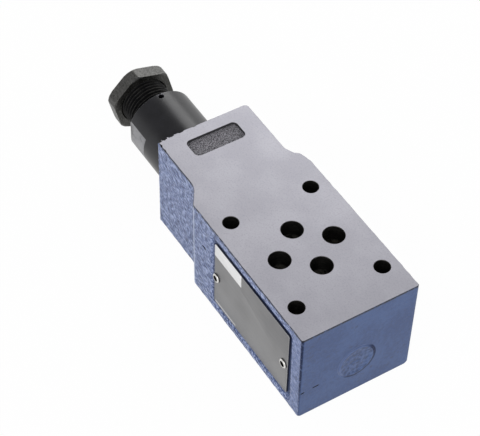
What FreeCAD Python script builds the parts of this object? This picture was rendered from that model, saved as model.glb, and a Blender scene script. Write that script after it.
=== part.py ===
import FreeCAD, Part
import Sketcher
import math
import os
from types import SimpleNamespace
from FreeCAD import Placement, Rotation, Vector

# Sandwich plate pressure reducing valve. Millimetres, +Z up. The origin is the centre of the port
# pattern on the bottom mounting face. +X runs towards the closed end face, -X towards the adjusting
# screw, and the name plate is on the -Y side.

# Driving dimensions. Each is a cell of the sheet under the same name.
DRIVING = {
    # Mounting pattern, the standard small valve pattern
    "bolt_spacing": 40.5,
    "bolt_width": 31.0,
    "bolt_offset": 0.75,
    "bolt_hole_radius": 2.75,
    "centre_from_bolt": 21.5,
    "port_radius": 3.75,
    "pressure_port_y": 10.4,
    "work_port_a_x": 8.8,
    "work_port_b_x": 8.7,

    # Housing
    "block_height": 40.0,
    "front_wall": 9.65,
    "neck_length": 65.5,
    "side_wall": 3.95,
    "neck_half_width": 17.8,
    "casting_draft": 0.5,
    "neck_corner_radius": 1.5,
    "front_corner_radius": 0.8,
    "step_fillet": 2.5,
    "plate_step_start": 41.2,
    "plate_step_end": 34.4,
    "back_step_start": 38.6,
    "back_step_knee": 36.4,
    "back_step_end": 31.0,
    "back_knee_drop": 1.1,
    "pocket_length": 8.1,
    "pocket_width": 19.9,
    "pocket_depth": 1.3,
    "pocket_from_end": 5.1,
    "pocket_corner_radius": 1.5,
    "counterbore_wall": 0.66,
    "counterbore_depth": 1.4,
    "pressure_port_depth": 9.6,

    # Bore line
    "bore_height": 15.6,
    "sleeve_thread_length": 13.5,
    "sleeve_thread_relief": 0.5,
    "seal_seat_step": 0.7,
    "seal_seat_play": 0.42,
    "chamber_step": 0.4,
    "spool_end_wall": 2.7,
    "spool_bore_length": 29.75,
    "spool_bore_radius": 5.0,
    "ring_groove_depth": 2.0,
    "ring_groove_width": 4.0,
    "tank_groove_back": 25.75,
    "outlet_groove_back": 17.75,
    "inlet_groove_back": 8.75,
    "spool_clearance": 0.02,
    "thread_clearance": 0.03,

    # Channels, their ends measured from the top or bottom face, or from the line of the bore
    "channel_radius": 2.6,
    "channel_start_depth": 6.6,
    "inlet_end_side": 5.8,
    "inlet_end_drop": 4.6,
    "outlet_end_side": 4.5,
    "outlet_end_rise": 5.6,
    "tank_channel_rise": 11.2,
    "tank_channel_side": 4.0,
    "tank_drop_radius": 1.8,
    "drain_radius": 1.2,
    "drain_wall": 0.8,
    "gauge_channel_side": 3.0,
    "gauge_channel_rise": 2.4,
    "cutter_overrun": 1.0,

    # Control spool and its plug
    "spool_stroke": 4.0,
    "spool_overhang": 1.0,
    "spool_waist_depth": 1.8,
    "spool_end_gap": 0.05,
    "inlet_opening": 1.5,
    "relief_opening": 0.5,
    "spool_nose_radius": 3.0,
    "spool_nose_length": 3.0,
    "pilot_radius": 1.2,
    "pilot_bore_margin": 2.0,
    "cross_hole_radius": 1.0,
    "nozzle_radius": 2.0,
    "nozzle_length": 3.5,
    "nozzle_sink": 0.2,
    "nozzle_end_gap": 0.1,
    "nozzle_socket_depth": 1.4,
    "orifice_radius": 0.4,
    "plug_radius": 6.65,
    "plug_length": 8.0,
    "plug_chamber": 3.0,
    "plug_proud": 0.35,
    "plug_bevel": 0.2,
    "plug_groove_place": 1.2,

    # Spring and its two plates
    "wire_radius": 1.0,
    "coil_turns": 5.5,
    "coil_margin": 0.9,
    "spring_plate_gap": 0.7,
    "spigot_gap": 0.5,
    "spring_plate_thickness": 2.2,
    "spigot_length": 2.0,
    "seat_nose_chamfer": 0.8,

    # Adjusting sleeve
    "sleeve_radius": 12.85,
    "sleeve_length": 30.0,
    "sleeve_shoulder": 1.85,
    "sleeve_flat_depth": 1.0,
    "sleeve_flat_length": 11.0,
    "sleeve_rim_chamfer": 0.4,
    "spring_bore_step": 0.2,
    "seal_bore_step": 1.0,
    "seal_bore_start": 8.0,
    "seal_bore_length": 7.5,
    "radial_hole_radius": 1.0,
    "radial_hole_from_rim": 1.6,

    # Adjusting spindle and lock nut
    "spindle_radius": 9.0,
    "spindle_over_nut": 0.8,
    "spindle_stroke": 5.0,
    "spindle_stop_margin": 1.0,
    "spindle_chamfer": 0.8,
    "spindle_end_land": 0.4,
    "socket_flats": 10.0,
    "socket_depth": 7.0,
    "nut_flats": 23.0,
    "nut_corner_rise": 1.2,
    "nut_thickness": 5.0,
    "nut_from_sleeve": 10.9,
    "nut_bevel_width": 0.7,
    "nut_countersink": 0.5,
    "nut_bevel_angle": 30.0,
    "nut_turn": 14.5,

    # Seals and stop ring
    "seal_ring_radius": 0.89,
    "small_ring_radius": 0.7,
    "stop_ring_radius": 0.5,
    "stop_ring_gap": 0.3,
    "stop_ring_sink": 0.2,
    "port_seal_width": 1.8,
    "port_seal_gap": 0.1,
    "port_seal_land": 0.2,
    "seal_play": 0.05,
    "seal_groove_play": 0.3,

    # Name plate and rivets
    "recess_from_front": 5.9,
    "recess_from_top": 3.9,
    "recess_from_bottom": 1.1,
    "recess_depth": 1.7,
    "recess_corner_radius": 2.0,
    "plate_length": 45.1,
    "plate_gap_front": 2.2,
    "plate_gap_rear": 1.7,
    "plate_gap_top": 3.3,
    "plate_gap_bottom": 2.2,
    "plate_thickness": 0.8,
    "plate_corner_radius": 0.8,
    "rivet_inset_front": 2.3,
    "rivet_inset_rear": 1.6,
    "rivet_drop": 1.15,
    "rivet_head_radius": 1.65,
    "rivet_rim_height": 0.4,
    "rivet_shoulder_radius": 1.35,
    "rivet_shoulder_height": 0.75,
    "rivet_crown_radius": 0.8,
    "rivet_head_height": 0.9,
    "rivet_eye_radius": 0.55,
    "rivet_eye_depth": 0.6,
    "rivet_pin_radius": 1.0,
    "rivet_pin_depth": 1.3,
    "rivet_end_gap": 0.2,
}


class Size:
    """A number that also knows the formula it comes from, for use in bound properties."""

    def __init__(self, value, formula):
        self.value = float(value)
        self.formula = formula

    def __add__(self, other):
        other = as_size(other)
        return Size(self.value + other.value, f"({self.formula} + {other.formula})")

    def __sub__(self, other):
        other = as_size(other)
        return Size(self.value - other.value, f"({self.formula} - {other.formula})")

    def __mul__(self, other):
        other = as_size(other)
        return Size(self.value * other.value, f"({self.formula} * {other.formula})")

    def __truediv__(self, other):
        other = as_size(other)
        return Size(self.value / other.value, f"({self.formula} / {other.formula})")

    def __radd__(self, other):
        return as_size(other) + self

    def __rsub__(self, other):
        return as_size(other) - self

    def __rmul__(self, other):
        return as_size(other) * self

    def __neg__(self):
        return Size(-self.value, f"(0 - {self.formula})")


def as_size(number):
    return number if isinstance(number, Size) else Size(number, repr(float(number)))


def distance(along, across):
    """Straight distance between two places, from how far apart they are both ways."""
    return Size(math.hypot(along.value, across.value),
                f"sqrt({along.formula} * {along.formula} + {across.formula} * {across.formula})")


def of_angle(kind, degrees):
    """Sine, cosine or tangent of an angle in degrees, by the name that it has in formulas."""
    return Size(getattr(math, kind)(math.radians(degrees.value)), f"{kind}({degrees.formula} * 1deg)")


doc = FreeCAD.newDocument("sandwich_valve")
sheet = doc.addObject("Spreadsheet::Sheet", "sizes")
for row, (alias, value) in enumerate(DRIVING.items(), start=1):
    sheet.set(f"A{row}", alias)
    sheet.set(f"B{row}", str(value))
    sheet.setAlias(f"B{row}", alias)

sizes = SimpleNamespace(**{alias: Size(value, f"sizes.{alias}") for alias, value in DRIVING.items()})

# Housing sizes and places that follow from the driving dimensions
rear_bolt_x = -sizes.centre_from_bolt
front_bolt_x = sizes.bolt_spacing - sizes.centre_from_bolt
front_bolt_y = sizes.bolt_width / 2 + sizes.bolt_offset
front_length = front_bolt_x + sizes.bolt_hole_radius + sizes.front_wall
block_half_width = sizes.bolt_width / 2 + sizes.bolt_hole_radius + sizes.side_wall
neck_face_x = -sizes.neck_length
port_distance = distance(sizes.work_port_b_x, sizes.pressure_port_y)
counterbore_radius = (port_distance - sizes.counterbore_wall) / 2
port_seal_height = sizes.counterbore_depth - sizes.port_seal_gap

# Radii of the bore line, from the sleeve and the spindle inwards
sleeve_thread_radius = sizes.sleeve_radius - sizes.sleeve_shoulder
seal_seat_radius = sleeve_thread_radius + sizes.seal_seat_step
seal_bore_radius = sizes.spindle_radius - sizes.seal_bore_step
sleeve_spring_bore = sizes.spindle_radius - sizes.spring_bore_step
chamber_radius = sleeve_spring_bore + sizes.chamber_step
spring_plate_radius = sleeve_spring_bore - sizes.spring_plate_gap
coil_radius = spring_plate_radius - sizes.wire_radius - sizes.coil_margin
spigot_radius = coil_radius - sizes.wire_radius - sizes.spigot_gap
ring_groove_radius = sizes.spool_bore_radius + sizes.ring_groove_depth
spool_waist_radius = sizes.spool_bore_radius - sizes.spool_waist_depth

# Places on the bore line, counted along X from the neck end face inwards
seal_seat_depth = 2 * sizes.seal_ring_radius + sizes.seal_seat_play
spool_bore_end = sizes.neck_length - sizes.work_port_a_x - sizes.port_radius - sizes.spool_end_wall
spool_bore_start = spool_bore_end - sizes.spool_bore_length
tank_groove_start = spool_bore_end - sizes.tank_groove_back
outlet_groove_start = spool_bore_end - sizes.outlet_groove_back
inlet_groove_start = spool_bore_end - sizes.inlet_groove_back
spool_front = spool_bore_end - sizes.spool_end_gap
spool_back = spool_bore_start - sizes.spool_overhang
spool_waist_start = tank_groove_start + sizes.ring_groove_width + sizes.spool_stroke - sizes.relief_opening
spool_waist_end = inlet_groove_start + sizes.inlet_opening
nozzle_back = spool_front - sizes.nozzle_sink - sizes.nozzle_length
plug_bore_depth = sizes.plug_length + sizes.plug_chamber

# Places of the adjusting screw, counted the same way, so they are negative outside the neck
half_ring_groove = sizes.stop_ring_radius + sizes.seal_play
stop_ring_place = sizes.stop_ring_gap + half_ring_groove - sizes.seal_bore_start
spindle_inner = stop_ring_place + half_ring_groove + sizes.spindle_end_land
spindle_seal_place = -(sizes.seal_bore_start + sizes.seal_bore_length / 2)
seal_bore_end = sizes.seal_bore_start + sizes.seal_bore_length
spindle_thread_end = seal_bore_end + sizes.spindle_stroke + sizes.spindle_stop_margin
nut_inner = -(sizes.sleeve_length + sizes.nut_from_sleeve)
nut_outer = nut_inner - sizes.nut_thickness
spindle_outer = nut_outer - sizes.spindle_over_nut
spring_front = spool_back - sizes.spring_plate_thickness
spring_back = sizes.spring_plate_thickness + sizes.seal_play + spindle_inner

# Recess in the side, the plate in it and the rivets
recess_floor_y = sizes.recess_depth - block_half_width
plate_face_y = recess_floor_y - sizes.plate_thickness
recess_front = front_length - sizes.recess_from_front
plate_front = recess_front - sizes.plate_gap_front
plate_rear = plate_front - sizes.plate_length
recess_rear = plate_rear - sizes.plate_gap_rear
recess_top = sizes.block_height - sizes.recess_from_top
plate_top = recess_top - sizes.plate_gap_top
plate_bottom = sizes.recess_from_bottom + sizes.plate_gap_bottom
rivet_z = (plate_top + plate_bottom) / 2 - sizes.rivet_drop
rivet_rear_x = plate_rear + sizes.rivet_inset_rear
rivet_front_x = plate_front - sizes.rivet_inset_front

port_places = {
    "p": (as_size(0), sizes.pressure_port_y),
    "t": (as_size(0), -sizes.pressure_port_y),
    "a": (-sizes.work_port_a_x, as_size(0)),
    "b": (sizes.work_port_b_x, as_size(0)),
}


def bind(thing, setting, size):
    thing.setExpression(setting, as_size(size).formula)


def new_body(name):
    body = doc.addObject("PartDesign::Body", name)
    body.Label = name
    return body


def origin_plane(body, role):
    return next(item for item in body.Origin.OriginFeatures if item.Role == role)


def new_sketch(body, name, role, lift=None, shift=None):
    """Sketch on one of the body's own origin planes, lifted along its normal, shifted along its Y."""
    sketch = body.newObject("Sketcher::SketchObject", name)
    sketch.AttachmentSupport = [(origin_plane(body, role), "")]
    sketch.MapMode = "FlatFace"
    if lift is not None:
        bind(sketch, "AttachmentOffset.Base.z", lift)
    if shift is not None:
        bind(sketch, "AttachmentOffset.Base.y", shift)
    return sketch


def pin_down(sketch, geometry, point, place):
    """Fix a point of a sketch at a place that is bound to the sheet."""
    for kind, size in zip(("DistanceX", "DistanceY"), place):
        size = as_size(size)
        number = sketch.addConstraint(Sketcher.Constraint(kind, -1, 1, geometry, point, size.value))
        bind(sketch, f"Constraints[{number}]", size)


def draw_outline(sketch, corners):
    """Closed outline of straight lines through the corners."""
    corners = [(as_size(x), as_size(y)) for x, y in corners]
    points = [Vector(x.value, y.value, 0) for x, y in corners]
    lines = [sketch.addGeometry(Part.LineSegment(start, end), False)
             for start, end in zip(points, points[1:] + points[:1])]
    for line, following in zip(lines, lines[1:] + lines[:1]):
        sketch.addConstraint(Sketcher.Constraint("Coincident", line, 2, following, 1))
    for line, corner in zip(lines, corners):
        pin_down(sketch, line, 1, corner)


def draw_circle(sketch, centre, radius):
    x, y = (as_size(size) for size in centre)
    radius = as_size(radius)
    circle = Part.Circle(Vector(x.value, y.value, 0), Vector(0, 0, 1), radius.value)
    geometry = sketch.addGeometry(circle, False)
    pin_down(sketch, geometry, 3, (x, y))
    number = sketch.addConstraint(Sketcher.Constraint("Radius", geometry, radius.value))
    bind(sketch, f"Constraints[{number}]", radius)


def rectangle(low, high):
    """Corners of a rectangle from its lowest corner to its highest."""
    return [low, (high[0], low[1]), high, (low[0], high[1])]


def hexagon(flats, turned_by=as_size(0)):
    """Corners of a hexagon across flats, with a flat facing the given angle in degrees."""
    sides = 6
    corner_radius = flats / (2 * math.cos(math.pi / sides))

    def corner(number):
        angle = turned_by + 360 / sides * (number + 0.5)
        return corner_radius * of_angle("cos", angle), corner_radius * of_angle("sin", angle)

    return [corner(number) for number in range(sides)]


def pad(body, name, sketch, length):
    feature = body.newObject("PartDesign::Pad", name)
    feature.Profile = sketch
    bind(feature, "Length", length)
    return feature


def pocket(body, name, sketch, depth=None, backwards=False):
    """Cut to a depth, or through everything in both directions where no depth is given."""
    before = current_volume(body)
    feature = body.newObject("PartDesign::Pocket", name)
    feature.Profile = sketch
    if depth is None:
        feature.Type = "ThroughAll"
        feature.Midplane = True
    else:
        feature.Reversed = backwards
        bind(feature, "Length", depth)
    return check_cut(body, feature, before)


def turn(body, name, corners, cut=False, shift=None):
    """Turn an outline of (distance along X, radius) about the X direction."""
    before = current_volume(body) if cut else 0
    sketch = new_sketch(body, f"{name}_outline", "XZ_Plane", shift=shift)
    draw_outline(sketch, corners)
    feature = body.newObject("PartDesign::Groove" if cut else "PartDesign::Revolution", name)
    feature.Profile = sketch
    feature.ReferenceAxis = (sketch, ["H_Axis"])
    feature.Angle = 360
    return check_cut(body, feature, before) if cut else feature


def current_volume(body):
    doc.recompute()
    return body.Shape.Volume


def check_cut(body, feature, before):
    if current_volume(body) >= before:
        raise RuntimeError(f"{feature.Name} removes nothing from {body.Label}")
    return feature


def drill(body, name, start, end, radius):
    """Round channel between two points of the body's frame."""
    before = current_volume(body)
    start, end = (Vector(*(as_size(size).value for size in place)) for place in (start, end))
    feature = body.newObject("PartDesign::SubtractiveCylinder", name)
    feature.Placement = Placement(start, Rotation(Vector(0, 0, 1), end - start))
    feature.Height = (end - start).Length
    bind(feature, "Radius", radius)
    return check_cut(body, feature, before)


def edges_where(feature, test):
    doc.recompute()
    return [f"Edge{number + 1}" for number, edge in enumerate(feature.Shape.Edges) if test(edge)]


def round_edges(body, name, feature, test, radius):
    fillet = body.newObject("PartDesign::Fillet", name)
    fillet.Base = (feature, edges_where(feature, test))
    bind(fillet, "Radius", radius)
    return fillet


def bevel_edges(body, name, feature, test, width):
    chamfer = body.newObject("PartDesign::Chamfer", name)
    chamfer.Base = (feature, edges_where(feature, test))
    bind(chamfer, "Size", width)
    return chamfer


def near(first, second, tolerance=0.01):
    return abs(first - second) < tolerance


def on_bore_line(thing, x_place):
    """Put a turned piece on the line of the bore, with its own X counted from the neck end face."""
    bind(thing, "Placement.Base.x", neck_face_x + x_place)
    bind(thing, "Placement.Base.z", sizes.bore_height)


def ring(name, radius, section):
    """Round ring about the X direction."""
    torus = doc.addObject("Part::Torus", name)
    torus.Label = name
    bind(torus, "Radius1", radius)
    bind(torus, "Radius2", section)
    torus.Placement = Placement(Vector(), Rotation(Vector(0, 1, 0), 90))
    return torus


# Housing: cast iron body with a narrower neck

def block_plan(body):
    """Plan of the casting at its top face: a wide part, a step on each side and the neck."""
    sketch = new_sketch(body, "block_plan", "XY_Plane")
    draw_outline(sketch, [
        (neck_face_x, -sizes.neck_half_width),
        (-sizes.plate_step_start, -sizes.neck_half_width),
        (-sizes.plate_step_end, -block_half_width),
        (front_length, -block_half_width),
        (front_length, block_half_width),
        (-sizes.back_step_end, block_half_width),
        (-sizes.back_step_knee, block_half_width - sizes.back_knee_drop),
        (-sizes.back_step_start, sizes.neck_half_width),
        (neck_face_x, sizes.neck_half_width)])
    return sketch


def cast_block(body):
    """Block with drafted long sides, square machined ends and rounded upright corners."""
    blank = pad(body, "blank", block_plan(body), sizes.block_height)
    doc.recompute()
    faces = {f"Face{number + 1}": face.normalAt(0, 0) for number, face in enumerate(blank.Shape.Faces)}
    long_sides = [name for name, normal in faces.items() if abs(normal.y) > 0.1]
    top = next(name for name, normal in faces.items() if normal.z > 0.9)
    drafted = body.newObject("PartDesign::Draft", "drafted_sides")
    drafted.Base = (blank, long_sides)
    drafted.NeutralPlane = (blank, [top])
    drafted.Reversed = True
    lean = sizes.casting_draft / sizes.block_height
    drafted.setExpression("Angle", f"atan({lean.formula})")

    def upright_at(*places):
        def test(edge):
            box = edge.BoundBox
            upright = near(box.ZLength, sizes.block_height.value)
            return upright and any(near(box.Center.x, -x.value, sizes.casting_draft.value) for x in places)
        return test

    steps = upright_at(sizes.plate_step_start, sizes.plate_step_end,
                       sizes.back_step_start, sizes.back_step_knee, sizes.back_step_end)
    neck_end, front_end = upright_at(sizes.neck_length), upright_at(-front_length)
    stepped = round_edges(body, "step_fillets", drafted, steps, sizes.step_fillet)
    necked = round_edges(body, "neck_corners", stepped, neck_end, sizes.neck_corner_radius)
    return round_edges(body, "front_corners", necked, front_end, sizes.front_corner_radius)


def cast_pocket(body):
    """Shallow cast pocket in the top face of the neck."""
    sketch = new_sketch(body, "cast_pocket_outline", "XY_Plane", lift=sizes.block_height)
    start = neck_face_x + sizes.pocket_from_end
    half_width = sizes.pocket_width / 2
    draw_outline(sketch, rectangle((start, -half_width), (start + sizes.pocket_length, half_width)))
    cut = pocket(body, "cast_pocket", sketch, sizes.pocket_depth)

    def corner(edge):
        box = edge.BoundBox
        upright = near(box.ZLength, sizes.pocket_depth.value)
        return upright and near(abs(box.Center.y), sizes.pocket_width.value / 2)

    return round_edges(body, "cast_pocket_corners", cut, corner, sizes.pocket_corner_radius)


def plate_recess(body):
    """Recess for the name plate in the -Y side, open to the outside."""
    sketch = new_sketch(body, "plate_recess_outline", "XZ_Plane", lift=-recess_floor_y)
    draw_outline(sketch, rectangle((recess_rear, sizes.recess_from_bottom), (recess_front, recess_top)))
    cut = pocket(body, "plate_recess", sketch, sizes.recess_depth + sizes.casting_draft, backwards=True)

    def corner(edge):
        box = edge.BoundBox
        across = near(box.YMax, recess_floor_y.value) and box.YLength > sizes.recess_depth.value / 2
        return across and near(box.XLength, 0) and near(box.ZLength, 0)

    return round_edges(body, "plate_recess_corners", cut, corner, sizes.recess_corner_radius)


def mounting_holes(body):
    """Four bolt holes, the through ports, and the pressure port that the spool bridges."""
    bolts = new_sketch(body, "bolt_circles", "XY_Plane")
    for x, y in ((rear_bolt_x, sizes.bolt_width / 2), (front_bolt_x, front_bolt_y)):
        for side in (1, -1):
            draw_circle(bolts, (x, side * y), sizes.bolt_hole_radius)
    pocket(body, "bolt_holes", bolts)

    through = new_sketch(body, "through_port_circles", "XY_Plane")
    for letter in ("t", "a", "b"):
        draw_circle(through, port_places[letter], sizes.port_radius)
    pocket(body, "through_ports", through)

    for name, lift, upwards in (("lower", as_size(0), True), ("upper", sizes.block_height, False)):
        sketch = new_sketch(body, f"{name}_pressure_circle", "XY_Plane", lift=lift)
        draw_circle(sketch, port_places["p"], sizes.port_radius)
        pocket(body, f"{name}_pressure_port", sketch, sizes.pressure_port_depth, backwards=upwards)

    seats = new_sketch(body, "seal_seat_circles", "XY_Plane")
    for place in port_places.values():
        draw_circle(seats, place, counterbore_radius)
    pocket(body, "port_seal_seats", seats, sizes.counterbore_depth, backwards=True)


def bore_line(body):
    """Stepped bore from the neck end: sleeve thread, spring chamber, spool bore and ring grooves."""
    thread_end = sizes.sleeve_thread_length + sizes.sleeve_thread_relief
    corners = [(0, 0), (0, seal_seat_radius), (seal_seat_depth, seal_seat_radius),
               (seal_seat_depth, sleeve_thread_radius), (thread_end, sleeve_thread_radius),
               (thread_end, chamber_radius), (spool_bore_start, chamber_radius),
               (spool_bore_start, sizes.spool_bore_radius)]
    for groove_start in (tank_groove_start, outlet_groove_start, inlet_groove_start):
        groove_end = groove_start + sizes.ring_groove_width
        corners += [(groove_start, sizes.spool_bore_radius), (groove_start, ring_groove_radius),
                    (groove_end, ring_groove_radius), (groove_end, sizes.spool_bore_radius)]
    corners += [(spool_bore_end, sizes.spool_bore_radius), (spool_bore_end, 0)]
    along_x = [(neck_face_x + place, radius) for place, radius in corners]
    turn(body, "stepped_bore", along_x, cut=True, shift=sizes.bore_height)

    bore_end = front_length - plug_bore_depth
    plug_bore = sizes.plug_radius + sizes.thread_clearance
    turn(body, "plug_bore", [(bore_end, 0), (bore_end, plug_bore), (front_length, plug_bore),
                             (front_length, 0)], cut=True, shift=sizes.bore_height)


def flow_channels(body):
    """Channels that join the ports to the ring grooves of the spool bore."""
    def groove_middle(groove_start):
        return neck_face_x + groove_start + sizes.ring_groove_width / 2

    drill(body, "inlet_channel",
          (0, sizes.pressure_port_y, sizes.channel_start_depth),
          (groove_middle(inlet_groove_start),
           sizes.inlet_end_side,
           sizes.bore_height - sizes.inlet_end_drop),
          sizes.channel_radius)
    drill(body, "outlet_channel",
          (0, sizes.pressure_port_y, sizes.block_height - sizes.channel_start_depth),
          (groove_middle(outlet_groove_start),
           sizes.outlet_end_side,
           sizes.bore_height + sizes.outlet_end_rise),
          sizes.channel_radius)

    tank_x = groove_middle(tank_groove_start)
    tank_level = sizes.bore_height + sizes.tank_channel_rise
    drill(body, "tank_channel",
          (0, -sizes.pressure_port_y, tank_level),
          (tank_x, -sizes.tank_channel_side, tank_level),
          sizes.channel_radius)
    drill(body, "tank_drop",
          (tank_x, -sizes.tank_channel_side, tank_level + sizes.cutter_overrun),
          (tank_x, -sizes.tank_channel_side, sizes.bore_height),
          sizes.tank_drop_radius)

    drain_y = -(sizes.spool_bore_radius + sizes.drain_wall + sizes.drain_radius)
    chamber_end = neck_face_x + spool_bore_start
    drill(body, "drain_drilling",
          (chamber_end - sizes.cutter_overrun, drain_y, sizes.bore_height),
          (tank_x, drain_y, sizes.bore_height),
          sizes.drain_radius)

    plug_bore_end = front_length - plug_bore_depth
    drill(body, "gauge_drilling",
          (plug_bore_end + sizes.cutter_overrun,
           sizes.gauge_channel_side,
           sizes.bore_height + sizes.gauge_channel_rise),
          (0, sizes.pressure_port_y, sizes.block_height - sizes.pressure_port_depth + sizes.cutter_overrun),
          sizes.drain_radius)


def rivet_holes(body):
    sketch = new_sketch(body, "rivet_circles", "XZ_Plane", lift=-recess_floor_y)
    for place in (rivet_rear_x, rivet_front_x):
        draw_circle(sketch, (place, rivet_z), sizes.rivet_pin_radius + sizes.thread_clearance)
    pocket(body, "rivet_holes", sketch, sizes.rivet_pin_depth + sizes.rivet_end_gap)


def housing():
    body = new_body("housing")
    cast_block(body)
    cast_pocket(body)
    plate_recess(body)
    mounting_holes(body)
    bore_line(body)
    flow_channels(body)
    rivet_holes(body)


# Control spool: two lands and a waist, bored from its front end for the pilot pressure

def control_spool():
    body = new_body("control_spool")
    land = sizes.spool_bore_radius - sizes.spool_clearance
    nozzle_seat = nozzle_back - sizes.nozzle_end_gap
    pilot_end = spool_waist_start + sizes.pilot_bore_margin
    turn(body, "spool_outline", [
        (spool_back - sizes.spool_nose_length, 0),
        (spool_back - sizes.spool_nose_length, sizes.spool_nose_radius),
        (spool_back, sizes.spool_nose_radius),
        (spool_back, land),
        (spool_waist_start, land),
        (spool_waist_start, spool_waist_radius),
        (spool_waist_end, spool_waist_radius),
        (spool_waist_end, land),
        (spool_front, land),
        (spool_front, sizes.nozzle_radius + sizes.thread_clearance),
        (nozzle_seat, sizes.nozzle_radius + sizes.thread_clearance),
        (nozzle_seat, sizes.pilot_radius),
        (pilot_end, sizes.pilot_radius),
        (pilot_end, 0)])
    cross = new_sketch(body, "cross_hole_circle", "XY_Plane")
    draw_circle(cross, ((spool_waist_start + spool_waist_end) / 2, 0), sizes.cross_hole_radius)
    pocket(body, "cross_hole", cross)
    on_bore_line(body, as_size(0))


def damping_nozzle():
    """Screw with an orifice and a socket, in the front end of the spool."""
    body = new_body("damping_nozzle")
    face = nozzle_back + sizes.nozzle_length
    socket_floor = face - sizes.nozzle_socket_depth
    turn(body, "nozzle_outline", [
        (nozzle_back, sizes.orifice_radius),
        (nozzle_back, sizes.nozzle_radius),
        (face, sizes.nozzle_radius),
        (face, sizes.pilot_radius),
        (socket_floor, sizes.pilot_radius),
        (socket_floor, sizes.orifice_radius)])
    on_bore_line(body, as_size(0))


# Spring with its two plates

def spring_plates():
    spool_seat = new_body("spool_seat")
    hole = sizes.spool_nose_radius + sizes.thread_clearance
    hole_floor = spool_back - sizes.spool_nose_length - sizes.seal_play
    turn(spool_seat, "seat_outline", [
        (spring_front - sizes.spigot_length, 0),
        (spring_front - sizes.spigot_length, spigot_radius),
        (spring_front, spigot_radius),
        (spring_front, spring_plate_radius),
        (spool_back, spring_plate_radius),
        (spool_back, hole),
        (hole_floor, hole),
        (hole_floor, 0)])
    on_bore_line(spool_seat, as_size(0))

    spindle_seat = new_body("spindle_seat")
    back_face = spindle_inner + sizes.seal_play
    nose_end = back_face - sizes.spool_nose_length
    turn(spindle_seat, "seat_outline", [
        (nose_end, 0),
        (nose_end, sizes.spool_nose_radius - sizes.seat_nose_chamfer),
        (nose_end + sizes.seat_nose_chamfer, sizes.spool_nose_radius),
        (back_face, sizes.spool_nose_radius),
        (back_face, spring_plate_radius),
        (spring_back, spring_plate_radius),
        (spring_back, spigot_radius),
        (spring_back + sizes.spigot_length, spigot_radius),
        (spring_back + sizes.spigot_length, 0)])
    on_bore_line(spindle_seat, as_size(0))


def main_spring():
    """Round wire coil between the two plates."""
    length = spring_front - spring_back
    end_space = sizes.wire_radius + sizes.seal_play
    coil_height = length - 2 * end_space
    helix = doc.addObject("Part::Helix", "spring_line")
    bind(helix, "Pitch", coil_height / sizes.coil_turns)
    bind(helix, "Height", coil_height)
    bind(helix, "Radius", coil_radius)
    section = doc.addObject("Part::Circle", "spring_section")
    section.Placement = Placement(Vector(), Rotation(Vector(1, 0, 0), 90))
    bind(section, "Radius", sizes.wire_radius)
    bind(section, "Placement.Base.x", coil_radius)
    coil = doc.addObject("Part::Sweep", "main_spring")
    coil.Label = "main_spring"
    coil.Sections = [section]
    coil.Spine = helix
    coil.Solid = True
    coil.Frenet = True
    coil.Placement = Placement(Vector(), Rotation(Vector(0, 1, 0), 90))
    on_bore_line(coil, spring_back + end_space)


# Adjusting sleeve: turned, screwed into the neck up to its shoulder

def adjusting_sleeve():
    body = new_body("adjusting_sleeve")
    undercut = seal_seat_radius - 2 * sizes.seal_ring_radius - sizes.seal_groove_play
    thread = sleeve_thread_radius - sizes.thread_clearance
    spindle_bore = sizes.spindle_radius + sizes.thread_clearance
    sleeve = turn(body, "sleeve_outline", [
        (sizes.sleeve_thread_length, sleeve_spring_bore),
        (sizes.sleeve_thread_length, thread),
        (seal_seat_depth, thread),
        (seal_seat_depth, undercut),
        (0, undercut),
        (0, sizes.sleeve_radius),
        (-sizes.sleeve_length, sizes.sleeve_radius),
        (-sizes.sleeve_length, spindle_bore),
        (-seal_bore_end, spindle_bore),
        (-seal_bore_end, seal_bore_radius),
        (-sizes.seal_bore_start, seal_bore_radius),
        (-sizes.seal_bore_start, sleeve_spring_bore)])

    def rim(edge):
        box = edge.BoundBox
        return near(box.XMin, -sizes.sleeve_length.value) and near(box.XLength, 0)

    bevel_edges(body, "rim_bevels", sleeve, rim, sizes.sleeve_rim_chamfer)

    flats = new_sketch(body, "flat_outline", "XY_Plane")
    flat_face = sizes.sleeve_radius - sizes.sleeve_flat_depth
    outside = sizes.sleeve_radius + sizes.cutter_overrun
    flat_start = -sizes.sleeve_length - sizes.cutter_overrun
    flat_end = sizes.sleeve_flat_length - sizes.sleeve_length
    for side in (1, -1):
        draw_outline(flats, [
            (flat_start, side * flat_face),
            (flat_end, side * flat_face),
            (flat_end, side * outside),
            (flat_start, side * outside)])
    pocket(body, "wrench_flats", flats)

    hole = new_sketch(body, "radial_hole_circle", "XY_Plane")
    draw_circle(hole, (sizes.radial_hole_from_rim - sizes.sleeve_length, 0), sizes.radial_hole_radius)
    pocket(body, "radial_hole", hole, sizes.sleeve_radius + sizes.cutter_overrun, backwards=True)
    on_bore_line(body, as_size(0))


# Adjusting spindle: threaded stud with a seal section, a stop ring groove and a hexagon socket

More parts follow.
